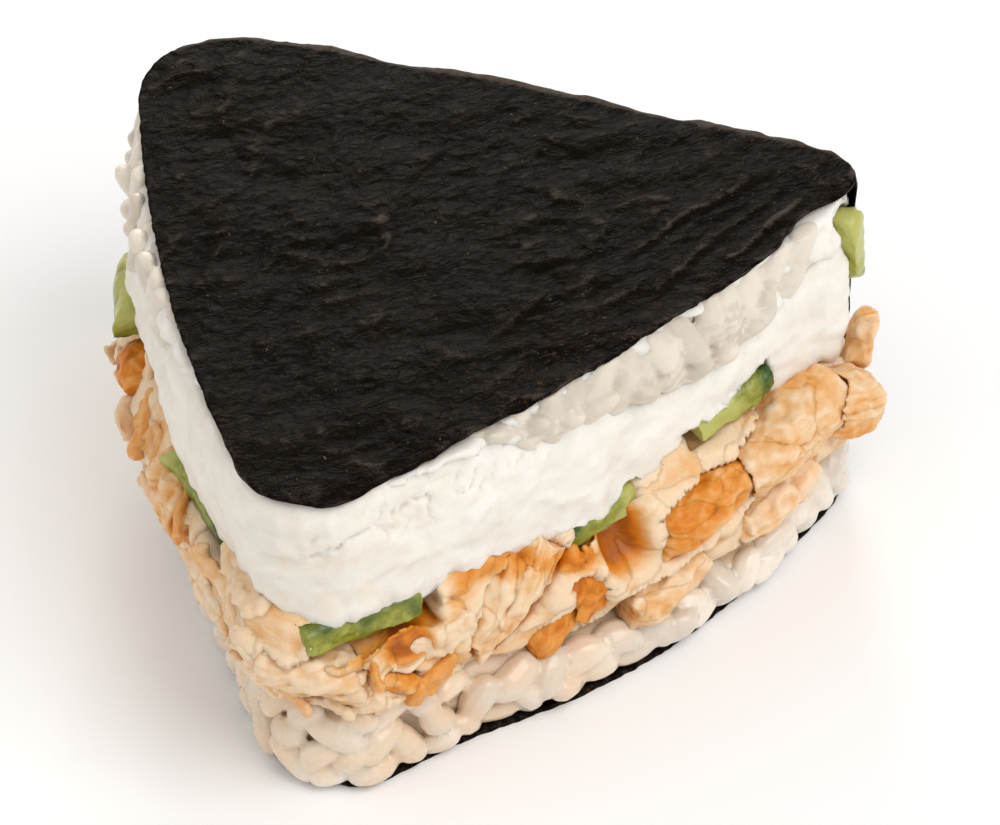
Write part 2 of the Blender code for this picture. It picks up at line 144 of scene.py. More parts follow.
def bearing(points):
    """Angle of each point round the middle of the plan."""
    return np.degrees(np.arctan2(points[:, 1] - MIDDLE[1], points[:, 0] - MIDDLE[0])) % 360


def spokes(points):
    """Each point's way from the middle in the plan, and its length, which is never quite 0."""
    away = points[:, :2] - MIDDLE[:2]
    return away, np.maximum(np.hypot(*away.T), 1e-6)


def within(points, *spans):
    """Where the points lie inside any of the spans, each given by its first and last bearing."""
    angle = bearing(points)
    return np.any([(angle > first) & (angle < last) for first, last in spans], axis=0)


def behind_panel(points):
    """Where the back panel covers the layers, from a degree before it to a degree past it."""
    return within(points, (WALL_FROM - 1, WALL_TO + 1))


def rough(points, size, seed=0.0, stretch=(1.0, 1.0, 1.0)):
    """Smooth unevenness from -1 to 1 at each point, in lumps of a size, stretched along the axes."""
    scaled = points / (np.array(stretch) * size) + seed * 17.3
    return np.array([noise.noise(p) for p in scaled.tolist()])


def along_wall(points):
    """Each point's place on the wall: distance round the outline, and height."""
    first = ROUND_ANGLE[0]
    angle = (np.radians(bearing(points)) - first) % (2 * math.pi) + first
    return np.column_stack([np.interp(angle, ROUND_ANGLE, ROUND_ALONG), points[:, 2]])


def press(points, low, high):
    """Flattens what stands above or below two heights, softly over the last millimetre."""
    z = points[:, 2]
    z = np.where(z > high - 1, high - 1 + np.tanh(z - high + 1), z)
    points[:, 2] = np.where(z < low + 1, low + 1 - np.tanh(low + 1 - z), z)


def hold_in(points, spread, rise=0.0):
    """Pushes points back that stand further out than a spread beyond the nori, which grows with height."""
    away, far = spokes(points)
    limit = reach(np.degrees(np.arctan2(away[:, 1], away[:, 0]))) + spread + rise * points[:, 2] - 1
    held = np.where(far > limit, limit + np.tanh(far - limit), far)
    points[:, :2] = MIDDLE[:2] + away * (held / far)[:, None]


def fibre_frame(middle, turn):
    """Directions along a piece's fibres, across them in the wall's plane, and out of the wall."""
    outward = np.array([middle[0] - MIDDLE[0], middle[1] - MIDDLE[1], 0.0])
    outward /= np.linalg.norm(outward)
    up = np.array([0.0, 0.0, 1.0])
    along = np.cross(up, outward)
    turn = math.radians(turn)
    fibre = along * math.cos(turn) + up * math.sin(turn)
    return np.array([fibre, np.cross(outward, fibre), outward])


def at_bearing(angle, table):
    """A value given at several bearings, eased between them."""
    bearings = np.array(sorted(table))
    values = np.array([table[b] for b in bearings], dtype=float)
    angle = np.asarray(angle) % 360
    after = np.searchsorted(bearings, angle, side="right") % len(bearings)
    before = after - 1
    gap = (bearings[after] - bearings[before]) % 360
    share = ((angle - bearings[before]) % 360) / gap
    share = (1 - np.cos(np.pi * share)) / 2
    return values[before] * (1 - share) + values[after] * share


def rims(points):
    """Heights of a layer's lower and upper rim below and above each point, read off its own wall."""
    sectors = 120
    sector = np.round(bearing(points) / (360 / sectors)).astype(int) % sectors
    outside = spokes(points)[1] > reach(bearing(points)) - 2.5
    low, high = np.full(sectors, np.inf), np.full(sectors, -np.inf)
    np.minimum.at(low, sector[outside], points[outside, 2])
    np.maximum.at(high, sector[outside], points[outside, 2])
    return low[sector], high[sector]


# ---------------------------------------------------------------- meshes

def link_object(name, data):
    """Puts a mesh, a light or a camera into the scene."""
    made = bpy.data.objects.new(name, data)
    bpy.context.scene.collection.objects.link(made)
    return made


def new_object(name, points, faces):
    """A smooth mesh from points in millimetres."""
    mesh = bpy.data.meshes.new(name)
    mesh.from_pydata((np.asarray(points, dtype=float) * MM).tolist(), [], faces)
    mesh.validate()
    mesh.shade_smooth()
    return link_object(name, mesh)


def rows(items, key, width, kind=float):
    """A row of values for each of a mesh's items."""
    values = np.empty(len(items) * width, dtype=kind)
    items.foreach_get(key, values)
    return values.reshape(-1, width)


def points_of(obj):
    """The mesh's points, in millimetres."""
    return rows(obj.data.vertices, "co", 3) / MM


def normals_of(obj):
    return rows(obj.data.vertex_normals, "vector", 3)


def side_on(normals):
    """1 on upright faces, 0 on level ones."""
    return 1 - np.abs(normals[:, 2])


def move_points(obj, points):
    obj.data.vertices.foreach_set("co", (points * MM).ravel())
    obj.data.update()


def paint(obj, name, values):
    """Stores a number or a place for each point, for the material to read."""
    values = np.asarray(values, dtype=float)
    kind, key = ("FLOAT", "value") if values.ndim == 1 else ("FLOAT_VECTOR", "vector")
    obj.data.attributes.new(name, kind, "POINT").data.foreach_set(key, values.ravel())


def painted_numbers(obj, name):
    return rows(obj.data.attributes[name].data, "value", 1)[:, 0]


def painted_places(obj, name):
    return rows(obj.data.attributes[name].data, "vector", 3)


def neighbour_mean(obj):
    """A function that takes a number for each point and gives its neighbours' mean for each point."""
    one, other = rows(obj.data.edges, "vertices", 2, int).T
    size = len(obj.data.vertices)
    count = np.maximum(np.bincount(one, minlength=size) + np.bincount(other, minlength=size), 1)

    def mean(values):
        return (np.bincount(one, values[other], size) + np.bincount(other, values[one], size)) / count
    return mean


def hollows(obj, rounds):
    """How deep each point lies, in millimetres, below its own smoothed surroundings."""
    points, mean = points_of(obj), neighbour_mean(obj)
    smooth = points.copy()
    for _ in range(rounds):
        for axis in range(3):
            smooth[:, axis] = mean(smooth[:, axis])
    return np.einsum("ij,ij->i", smooth - points, normals_of(obj))


def evened(obj, values, rounds):
    """The values, each drawn towards its neighbours', so that steps don't tear the faces."""
    mean = neighbour_mean(obj)
    for _ in range(rounds):
        values = (values + mean(values)) / 2
    return values


def bake(obj):
    """Turns the modifiers' result into the object's own plain mesh."""
    graph = bpy.context.evaluated_depsgraph_get()
    made = bpy.data.meshes.new_from_object(obj.evaluated_get(graph))
    obj.modifiers.clear()
    obj.data = made


def remesh(obj, step, relax):
    """Rebuilds a closed form as one even skin of small faces, then softens its creases."""
    skin = obj.modifiers.new("skin", "REMESH")
    skin.mode = "VOXEL"
    skin.voxel_size = step * MM
    skin.use_smooth_shade = True
    if relax:
        soft = obj.modifiers.new("soft", "SMOOTH")
        soft.factor = 0.5
        soft.iterations = relax
    bake(obj)


def knead(obj, step, relax):
    """Joins laid pieces into one skin where they touch, and keeps what each one carried."""
    old = points_of(obj)
    count = len(old)
    tone, places = painted_numbers(obj, "tone"), painted_places(obj, "fibre")
    tree = KDTree(count)
    for index, point in enumerate(old.tolist()):
        tree.insert(point, index)
    tree.balance()
    remesh(obj, step, relax)
    nearest = [tree.find(point)[1] for point in points_of(obj).tolist()]
    paint(obj, "tone", tone[nearest])
    paint(obj, "fibre", places[nearest])


def dense_copy(node, name, step, relax=3):
    """The solid's own form as an even mesh of small faces, ready for its surface to be worked."""
    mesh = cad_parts[node].data.copy()
    mesh.materials.clear()
    loose = bmesh.new()
    loose.from_mesh(mesh)
    bmesh.ops.remove_doubles(loose, verts=loose.verts, dist=1e-6)
    loose.to_mesh(mesh)
    loose.free()
    obj = link_object(name, mesh)
    remesh(obj, step, relax)
    return obj


def surface_patch(obj, name, keep):
    """The faces that keep(centres, normals) picks, as a surface to lay things on."""
    patch = bmesh.new()
    patch.from_mesh(obj.data)
    patch.faces.ensure_lookup_table()
    centres = np.array([f.calc_center_median() for f in patch.faces]) / MM
    normals = np.array([f.normal for f in patch.faces])
    wanted = keep(centres, normals)
    bmesh.ops.delete(patch, geom=[f for f, w in zip(patch.faces, wanted) if not w], context="FACES")
    mesh = bpy.data.meshes.new(name)
    patch.to_mesh(mesh)
    patch.free()
    return link_object(name, mesh)


def shows(low, high=HEIGHT):
    """Picks a layer's wall between two heights, where the back panel doesn't cover it."""
    def keep(centres, normals):
        height = centres[:, 2]
        upright = np.abs(normals[:, 2]) < 0.9
        return ~behind_panel(centres) & upright & (height > low) & (height < high)
    return keep


def tuck_in(obj):
    """Keeps a piece inside the back panel of the nori."""
    points = points_of(obj)
    away, far = spokes(points)
    limit = np.where(behind_panel(points), reach(bearing(points)) - PANEL_ROOM, np.inf)
    points[:, :2] = MIDDLE[:2] + away * np.minimum(1, limit / far)[:, None]
    move_points(obj, points)


def dress(obj, material, slot, *nodes):
    """Gives a finished piece its material and its place on the body, and hides the solids it stands for."""
    if slot != "nori":
        tuck_in(obj)
    obj.data.materials.clear()
    obj.data.materials.append(material)
    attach(obj, "root")
    if nodes:
        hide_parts(*nodes)


# ---------------------------------------------------------------- shader expressions

class Signal:
    """A number that varies over a surface. Arithmetic on it adds Math nodes."""

    def __init__(self, finish, socket):
        self.finish = finish
        self.socket = socket

    def math(self, operation, *values):
        return self.finish.node("ShaderNodeMath", {"operation": operation}, dict(enumerate(values)))

    def __add__(self, other):
        return self.math("ADD", self, other)

    def __sub__(self, other):
        return self.math("SUBTRACT", self, other)

    def __rsub__(self, other):
        return self.math("SUBTRACT", other, self)

    def __mul__(self, other):
        return self.math("MULTIPLY", self, other)

    __radd__ = __add__
    __rmul__ = __mul__

    def between(self, low, high):
        """0 below low, 1 above high and smooth between them."""
        return self.finish.node("ShaderNodeMapRange", {"interpolation_type": "SMOOTHSTEP"},
                                {"Value": self, "From Min": low, "From Max": high})


class Finish:
    """A material: its Principled shader, and the nodes that vary it."""

    def __init__(self, name, **constants):
        self.material = bpy.data.materials.new(name)
        self.material.use_nodes = True
        self.tree = self.material.node_tree
        self.shader = self.tree.nodes["Principled BSDF"]
        for socket, value in constants.items():
            self.shader.inputs[socket.replace("_", " ")].default_value = value

    def node(self, kind, settings=None, inputs=None, output=0):
        """Adds a node with its settings and the values or links of its sockets."""
        made = self.tree.nodes.new(kind)
        for name, value in (settings or {}).items():
            if name == "stops":
                ramp = made.color_ramp.elements
                while len(ramp) < len(value):
                    ramp.new(0.5)
                for element, (place, colour) in zip(ramp, value):
                    element.position = place
                    element.color = (*colour, 1.0)
            else:
                setattr(made, name, value)
        for name, value in (inputs or {}).items():
            self.feed(made.inputs[name], value)
        return Signal(self, made.outputs[output])

    def feed(self, socket, value):
        if isinstance(value, Signal):
            self.tree.links.new(value.socket, socket)
        elif isinstance(value, tuple) and len(value) == 3 and socket.type == "RGBA":
            socket.default_value = (*value, 1.0)
        else:
            socket.default_value = value

    def place(self, stretch=(1.0, 1.0, 1.0), turn=(0.0, 0.0, 0.0)):
        """Place on the object in millimetres, turned by degrees and then divided by the stretch."""
        here = self.node("ShaderNodeTexCoord", output="Object")
        turned = self.node("ShaderNodeMapping", inputs={
            "Vector": here, "Rotation": tuple(math.radians(a) for a in turn)})
        return self.node("ShaderNodeVectorMath", {"operation": "MULTIPLY"},
                         {0: turned, 1: tuple(1 / (MM * s) for s in stretch)})

    def noise(self, size, detail=2.0, roughness=0.5, distortion=0.0, stretch=(1.0, 1.0, 1.0), turn=(0, 0, 0)):
        """Cloudy noise from 0 to 1 in lumps of a size in millimetres."""
        return self.node("ShaderNodeTexNoise", inputs={
            "Vector": self.place(stretch, turn), "Scale": 1 / size, "Detail": detail,
            "Roughness": roughness, "Distortion": distortion})

    def cells(self, size):
        """Distance from the middles of cells of a size in millimetres."""
        return self.node("ShaderNodeTexVoronoi", inputs={"Vector": self.place(), "Scale": 1 / size},
                         output="Distance")

    def painted(self, name):
        """The number stored for each point under a name."""
        return self.node("ShaderNodeAttribute", {"attribute_name": name}, output="Fac")

    def mix(self, share, low, high):
        """A colour between two others."""
        made = self.tree.nodes.new("ShaderNodeMix")
        made.data_type = "RGBA"
        self.feed(made.inputs[0], share)
        self.feed(made.inputs[6], low)
        self.feed(made.inputs[7], high)
        return Signal(self, made.outputs[2])

    def bump(self, height, distance, strength):
        """A normal from a height from 0 to 1 that stands for a distance in millimetres."""
        return self.node("ShaderNodeBump", inputs={
            "Height": height, "Distance": distance * MM, "Strength": strength})

    def use(self, **inputs):
        """Links varying values to the shader, and returns the material."""
        for socket, value in inputs.items():
            self.feed(self.shader.inputs[socket.replace("_", " ")], value)
        return self.material


def soft_inside(finish, weight, radius, scale):
    """Light that soaks in and comes out again nearby, with the scale in millimetres."""
    finish.shader.inputs["Subsurface Weight"].default_value = weight
    finish.shader.inputs["Subsurface Radius"].default_value = radius
    finish.shader.inputs["Subsurface Scale"].default_value = scale * MM


def nori_finish():
    """Toasted nori: near black, satin, with a painted highlight on its crests, with pores, threads and brown
    specks.
    """
    f = Finish("nori", IOR=1.45, Specular_IOR_Level=0.034, Specular_Tint=(1.0, 0.81, 0.65, 1.0))
    crumple = f.noise(1.5, 4.0, 0.62, 0.9, stretch=(1.5, 1.0, 1.0), turn=(0, 0, -41))
    cloud = f.noise(9.0, 3.0, 0.6)
    grit = f.noise(0.32, 2.0, 0.6)
    crest = f.painted("crest")
    tone = crumple * 0.35 + cloud * 0.3 + grit * 0.35
    colour = f.mix(tone.between(0.36, 0.66), (0.0019, 0.0012, 0.0008), (0.0058, 0.0042, 0.0030))
    # painted highlight: the crests, and the high spots of the crumple and grit, are painted paler
    painted_crest_highlight = (crest + (crumple - 0.5) * 1.6 + (grit - 0.5) * 0.9).between(0.32, 1.15)
    colour = f.mix(painted_crest_highlight, colour, (0.0520, 0.0400, 0.0310))
    thread = f.noise(2.2, 3.0, 0.6, 2.5, stretch=(2.0, 1.0, 1.0), turn=(0, 0, 35)) - 0.5
    colour = f.mix((1 - (thread * thread).between(0.0, 0.00012)) * 0.16, colour, (0.050, 0.040, 0.032))
    fleck = f.noise(0.55, 1.0, 0.5).between(0.76, 0.80)
    colour = f.mix(fleck * 0.5, colour, (0.16, 0.14, 0.12))
    brown = f.noise(0.9, 2.0, 0.7).between(0.62, 0.70) * f.painted("brown")
    colour = f.mix(brown * 0.6, colour, (0.085, 0.040, 0.014))
    height = crumple * 0.72 + grit * 0.10 + f.cells(1.9).between(0.0, 0.5) * 0.18
    return f.use(Base_Color=colour,
                 Roughness=0.42 - crest * 0.06 + (grit - 0.5) * 0.2,
                 Normal=f.bump(height, 0.60, 1.0))


def rice_finish(name, pale, grey, roughness, wet):
    """Cooked rice: moist and a little see-through, each grain its own tone, stained in places, with painted
    shade in the creases and on the core between the grains.
    """
    f = Finish(name, IOR=1.38, Coat_Weight=wet, Coat_Roughness=0.14)
    soft_inside(f, 0.45, (1.0, 0.80, 0.58), 0.7)
    tone = f.painted("tone")
    hollow = f.painted("hollow")
    cloud = f.noise(2.2, 2.0, 0.5)
    colour = f.mix((tone * 0.8 + cloud * 0.4).between(0.15, 0.95), grey, pale)
    # stains, and on the lower core the painted shade between the grains
    colour = f.mix(f.painted("stain") * 0.75, colour, (0.79, 0.585, 0.39))
    # painted shade: darker and browner in the hollows
    colour = f.mix(hollow.between(0.05, 0.9) * 0.7, colour, (0.52, 0.41, 0.29))
    height = f.noise(0.9, 2.0, 0.5) * 0.7 + f.noise(0.25, 1.0, 0.5) * 0.3
    return f.use(Base_Color=colour, Roughness=roughness + (cloud - 0.5) * 0.14,
                 Normal=f.bump(height, 0.10, 0.5))


def cream_finish(name="cream_cheese_spread"):
    """Cream cheese: warm white, smooth and dense, with crumbs, smears and faint stains, painted shade in its
    hollows and, on the layer itself, a warm painted shade on its left side.
    """
    f = Finish(name, IOR=1.42, Coat_Weight=0.10, Coat_Roughness=0.3)
    soft_inside(f, 0.35, (1.0, 0.86, 0.68), 1.4)
    smear = f.noise(7.0, 4.0, 0.55, 0.8, stretch=(1.0, 1.0, 0.7))
    colour = f.mix(smear.between(0.34, 0.66), (0.800, 0.760, 0.690), (0.860, 0.830, 0.775))
    # stains, and on the cream layer a warm painted shade on its left side
    colour = f.mix(f.painted("stain") * 0.55, colour, (0.78, 0.60, 0.41))
    # painted shade: darker in the hollows
    colour = f.mix(f.painted("hollow").between(0.05, 0.7) * 0.6, colour, (0.66, 0.57, 0.47))
    height = f.noise(1.3, 4.0, 0.6, 0.4) * 0.6 + f.noise(0.35, 2.0, 0.6) * 0.4
    return f.use(Base_Color=colour, Roughness=0.46 + (smear - 0.5) * 0.2, Normal=f.bump(height, 0.18, 0.6))


def cucumber_finish():
    """Cucumber: pale wet flesh with fine pale flecks, and dark skin where it was left on."""
    f = Finish("cucumber", IOR=1.38, Coat_Weight=0.3, Coat_Roughness=0.15)
    soft_inside(f, 0.25, (0.7, 1.0, 0.3), 1.4)
    skin = f.painted("skin")
    vein = f.noise(1.1, 4.0, 0.6, 0.5)
    fleck = f.noise(0.45, 2.0, 0.6).between(0.62, 0.75)
    flesh = f.mix(vein.between(0.35, 0.68), (0.200, 0.215, 0.014), (0.350, 0.360, 0.055))
    flesh = f.mix(fleck * 0.3, flesh, (0.50, 0.53, 0.15))
    flesh = f.mix(skin.between(0.0, 0.28), (0.450, 0.450, 0.120), flesh)
    rind = f.mix(f.noise(0.9, 3.0, 0.6).between(0.4, 0.65), (0.022, 0.060, 0.003), (0.065, 0.135, 0.008))
    colour = f.mix((skin + (vein - 0.5) * 0.4).between(0.36, 0.70), flesh, rind)
    height = vein * 0.6 + f.noise(0.3, 2.0, 0.5) * 0.4
    return f.use(Base_Color=colour, Roughness=0.36 + (vein - 0.5) * 0.2, Normal=f.bump(height, 0.14, 0.6))


def chicken_finish():
    """Cooked chicken: pale fibres, orange brown where the outside was smoked, with painted shade, darker and
    more orange, in its hollows and gaps, and a paler painted highlight on its ridges.
    """
    f = Finish("chicken", IOR=1.40, Specular_IOR_Level=0.35, Coat_Weight=0.12, Coat_Roughness=0.18)
    soft_inside(f, 0.30, (1.0, 0.45, 0.20), 1.1)
    browned = f.painted("browned")
    hollow = f.painted("hollow")
    mottle = f.noise(1.6, 4.0, 0.6, 0.4)
    fine = f.noise(0.4, 3.0, 0.6)
    here = f.node("ShaderNodeAttribute", {"attribute_name": "fibre"}, output="Vector")
    here = f.node("ShaderNodeVectorMath", {"operation": "MULTIPLY"}, {0: here, 1: (0.14, 1.0, 1.0)})
    thread = f.node("ShaderNodeTexNoise", inputs={
        "Vector": here, "Scale": 2.4, "Detail": 4.0, "Roughness": 0.65})
    # painted shade and highlight: the hollows push the colour towards orange brown, the ridges towards pale
    share = browned + (mottle - 0.5) * 0.45 + (thread - 0.5) * 0.35 + hollow * 0.22
    colour = f.node("ShaderNodeValToRGB", {"stops": (
        (0.0, (0.830, 0.640, 0.440)),
        (0.25, (0.790, 0.490, 0.240)),
        (0.50, (0.740, 0.320, 0.060)),
        (0.75, (0.690, 0.215, 0.008)),
        (1.0, (0.390, 0.100, 0.004)))}, {"Fac": share})
    # painted shade: deep hollows darkened to orange brown
    colour = f.mix(hollow.between(0.10, 0.9) * 0.9, colour, (0.46, 0.130, 0.008))
    height = thread * 0.6 + fine * 0.2 + f.noise(0.9, 3.0, 0.6, 0.5) * 0.2
    return f.use(Base_Color=colour, Roughness=0.42 + (mottle - 0.5) * 0.3, Normal=f.bump(height, 0.22, 0.8))


# ---------------------------------------------------------------- nori

RELIEF_TURN = math.radians(40)            # the pressed wrinkles run this way across the sheet
CREASES = ((38.5, 23.0, 31.0, -3.0), (35.0, 22.0, 25.0, 2.0), (41.0, 21.0, 37.0, 6.0))
NORI_BROWN = {0: 0.6, 15: 0.2, 60: 0.1, 200: 0.1, 270: 0.2, 300: 0.5, 320: 1.0, 345: 1.0}   # its rim


def turned(points, angle):
    """The points seen along axes that are turned about the upright one."""
    return np.column_stack([
        points[:, 0] * math.cos(angle) + points[:, 1] * math.sin(angle),
        points[:, 1] * math.cos(angle) - points[:, 0] * math.sin(angle),
        points[:, 2]])


def crease(points, x0, y0, x1, y1):
    """A fine fold in the sheet from one place to another: a ridge with a groove beside it."""
    start, end = np.array([x0, y0]) + MIDDLE[:2], np.array([x1, y1]) + MIDDLE[:2]
    line = end - start
    length = np.linalg.norm(line)
    line = line / length
    away = points[:, :2] - start
    along = away @ line / length
    across = away @ np.array([-line[1], line[0]]) + 0.9 * rough(points, 7.0, 8)
    fade = np.clip(1 - (2 * along - 1) ** 4, 0, 1) * (np.abs(along - 0.5) < 0.5)
    return fade * (0.24 * np.exp(-(across / 0.55) ** 2) - 0.16 * np.exp(-((across - 1.1) / 0.6) ** 2))


def nori_relief(points):
    """Height of the sheet's own unevenness: swells over the rice, wrinkles, and creases near C."""
    across = turned(points, RELIEF_TURN)
    swell = 0.62 * rough(across, 6.5, 1, (1.4, 1.0, 1.0))
    bend = across.copy()
    bend[:, 1] += 1.5 * rough(points, 8.0, 7)
    wrinkle = 0.4 - 2.2 * np.abs(rough(bend, 4.4, 2, (1.8, 1.0, 1.0)))
    small = rough(bend, 2.0, 3, (1.5, 1.0, 1.0))
    tiny = rough(bend, 1.0, 9, (1.3, 1.0, 1.0))
    patch = np.clip(0.6 + 1.1 * rough(points, 12.0, 4), 0.1, 1.4)
    relief = swell + patch * (0.34 * wrinkle + 0.28 * small) + 0.12 * tiny
    for x0, y0, x1, y1 in CREASES:
        relief = relief + crease(points, x0, y0, x1, y1)
    return relief


def flat_sheet():
    """Points and faces of the folded sheet before its relief, ring by ring round the outline."""
    angles = even_angles(AROUND)
    on_wall = (angles % 360 >= WALL_FROM) & (angles % 360 <= WALL_TO)
    ends = np.minimum(angles % 360 - WALL_FROM, WALL_TO - angles % 360)
    fold = np.where(on_wall, FOLD_RADIUS * np.minimum(1.0, 0.25 + 0.75 * ends / FOLD_EASE), 0.0)
    round_edge = np.column_stack([np.cos(np.radians(angles)), np.sin(np.radians(angles)), np.zeros(AROUND)])
    ragged = 0.22 * rough(round_edge * 60, 1.6, 5)
    ragged += 0.30 * np.minimum(0, rough(round_edge * 60, 2.4, 6) + 0.45)
    ragged[on_wall] = 0

    upper_cut = UPPER_NIP * near(angles, UPPER_NIP_AT)
    lower_cut = LOWER_TIP_CUT * near(angles, LOWER_TIP_AT)
    share = ((angles - LOWER_FLAP_FROM) % 360) / (WALL_FROM - LOWER_FLAP_FROM)
    spread = np.where(share < 1, LOWER_FLAP_SPREAD * np.sin(np.pi * np.minimum(share, 1)), 0)
    upper = reach(angles) - upper_cut + ragged
    lower = reach(angles) - lower_cut + spread + ragged - LOWER_NIP * near(angles, LOWER_NIP_AT)

    points, faces = [], []

    def ring(radius, height):
        start = len(points)
        points.extend((r * x, r * y, z) for r, z, (x, y, _) in zip(radius, height, round_edge))
        return start

    def join(inner, outer, wanted=None, up=True):
        for i in range(AROUND):
            j = (i + 1) % AROUND
            if wanted is None or (wanted[i] and wanted[j]):
                face = (inner + i, outer + i, outer + j, inner + j)
                faces.append(face if up else face[::-1])

    def flap(edge, level, count, up):
        shares = np.linspace(0, 1, count + 1)[1:] ** 0.8
        rings = [ring((edge - fold) * s, np.full(AROUND, level)) for s in shares]
        for inner, outer in zip(rings, rings[1:]):
            join(inner, outer, up=up)
        middle = len(points)
        points.append((0, 0, level))
        for i in range(AROUND):
            face = (middle, rings[0] + i, rings[0] + (i + 1) % AROUND)
            faces.append(face if up else face[::-1])
        return rings[-1]

    top_rim = flap(upper, FLAP_TOP, TOP_RINGS, True)
    levels = [ring(upper - fold * (1 - out), FLAP_TOP - fold * drop) for out, drop in FOLD_BENDS]
    for s in np.linspace(0, 1, DOWN):
        levels.append(ring(reach(angles) - upper_cut * (1 - s) - lower_cut * s,
                           (FLAP_TOP - fold) * (1 - s) + fold * s))
    levels += [ring(lower - fold * (1 - out), fold * rise) for out, rise in reversed(FOLD_BENDS)]
    bottom_rim = flap(lower, 0.0, BOTTOM_RINGS, False)
    chain = [top_rim, *levels, bottom_rim]
    for above, below in zip(chain, chain[1:]):
        join(above, below, wanted=on_wall)

    used = np.zeros(len(points), bool)
    for face in faces:
        used[list(face)] = True
    renumber = np.cumsum(used) - 1
    return np.array(points)[used] + MIDDLE, [tuple(int(renumber[k]) for k in face) for face in faces]


def make_nori():
    """One sheet: upper flap, fold, back panel, fold and lower flap."""
    obj = new_object("nori_sheet", *flat_sheet())
    points, normals = points_of(obj), normals_of(obj)
    relief = nori_relief(points)
    height = points[:, 2]
    share = np.clip((height - 0.3) / 1.5, 0, 1) * np.where(height > HEIGHT - 2, 1.0, 0.6)
    points += normals * (relief * share)[:, None]
    away, far = spokes(points)
    edge = far - reach(bearing(points))
    lift = near(bearing(points), CURL_AT, CURL_WIDTH) * np.clip((edge + CURL_DEPTH) / CURL_DEPTH, 0, 1.2) ** 2
    low = height < 0.5
    points[:, 2] += np.where(low, CURL_HEIGHT * lift, 0)
    points[:, :2] += away * np.where(low, CURL_REACH * lift / far, 0)[:, None]
    points[:, 2] = np.clip(points[:, 2], 0.0, HEIGHT + 0.6)
    move_points(obj, points)
    thick = obj.modifiers.new("thickness", "SOLIDIFY")
    thick.thickness = NORI_THICKNESS * MM
    thick.offset = -1.0
    bake(obj)
    obj.data.shade_smooth()
    points = points_of(obj)
    along = bearing(points)
    rim = np.clip(1 - (reach(along) - spokes(points)[1]) / 12, 0, 1)
    paint(obj, "brown", rim * at_bearing(along, NORI_BROWN))
    flat = np.clip((np.abs(normals_of(obj)[:, 2]) - 0.6) / 0.3, 0.15, 1)
    # how far each point stands above its surroundings, for the painted highlight on the crests
    paint(obj, "crest", np.clip(-hollows(obj, 12) / 0.25, -1, 1.5) * flat)
    dress(obj, nori_finish(), "nori", "nori_wrap")


# ---------------------------------------------------------------- things laid on a surface

def closed_shape(name, rings):
    """A closed shape from rings of points, with its first and last ring drawn to a point each."""
    count = len(rings[0])
    points = [p for ring in rings for p in ring]
    faces = []
    for i in range(len(rings) - 1):
        for k in range(count):
            a, b = i * count + k, i * count + (k + 1) % count
            faces.append((a, b, b + count, a + count))
    first, last = len(points), len(points) + 1
    points += [np.mean(rings[0], axis=0), np.mean(rings[-1], axis=0)]
    top = (len(rings) - 1) * count
    faces += [(k, first, (k + 1) % count) for k in range(count)]
    faces += [(top + k, top + (k + 1) % count, last) for k in range(count)]
    obj = new_object(name, points, [face[::-1] for face in faces])
    paint(obj, "fibre", np.array(points) + [0, 0, 7 * len(name)])
    bpy.context.scene.collection.objects.unlink(obj)
    return obj


def rice_grain(variant, length, width, depth):
    """A cooked grain: plump, a little bent, with a flat side and a notch where the germ was."""
    sides, sections = 10, 8
    bend = 0.35 + 0.25 * variant
    rings = []
    for i in range(sections):
        share = 0.04 + 0.92 * i / (sections - 1)
        x = -math.cos(math.pi * share)
        size = math.sin(math.pi * share) ** (0.72 + 0.08 * variant)
        notch = 0.16 * math.exp(-((x - 0.75) / 0.22) ** 2)
        ring = []
        for k in range(sides):
            turn = 2 * math.pi * k / sides
            y = math.cos(turn) * size * width / 2 * (1 - notch * max(0.0, math.cos(turn - 0.8)))
            z = math.sin(turn) * size * depth / 2 * (0.9 if math.sin(turn) < 0 else 1.0)
            ring.append((x * length / 2, y + bend * (1 - x * x) - bend / 2, z))
        rings.append(np.array(ring))
    return closed_shape(f"grain_{variant}", rings)


def chicken_shred(variant):
    """A small torn piece: a blunt slab of fibres with stepped sides and slanting, ragged ends."""
    sides, sections = 10, 8
    length, width, depth = 9.4 - 1.3 * variant, 3.9 + 0.8 * (variant % 2), 1.6
    slant = (0.9, -0.6, 0.5, -0.8)[variant]
    rings = []
    for i in range(sections):
        share = i / (sections - 1)
        x = 2 * share - 1
        size = (1 - abs(x) ** 9 * 0.35) * (1 + 0.45 * noise.noise((i * 0.9, variant * 5.3, 2.0)))
        shift = 0.9 * noise.noise((i * 0.55, variant * 3.1, 6.0))
        ring = []
        for k in range(sides):
            turn = 2 * math.pi * k / sides
            y = math.copysign(abs(math.cos(turn)) ** 0.6, math.cos(turn)) * size * width / 2
            z = math.copysign(abs(math.sin(turn)) ** 0.7, math.sin(turn)) * size * depth / 2
            groove = 1 - 0.28 * (k % 2) * (1 - x * x)
            ragged = 0.9 * noise.noise((k * 2.1, variant * 2.7, 9.0)) * abs(x) ** 3
            ring.append((x * length / 2 + slant * y * abs(x) ** 3 * 0.5 + ragged, y + shift, z * groove))
        rings.append(np.array(ring))
    return closed_shape(f"shred_{variant}", rings)


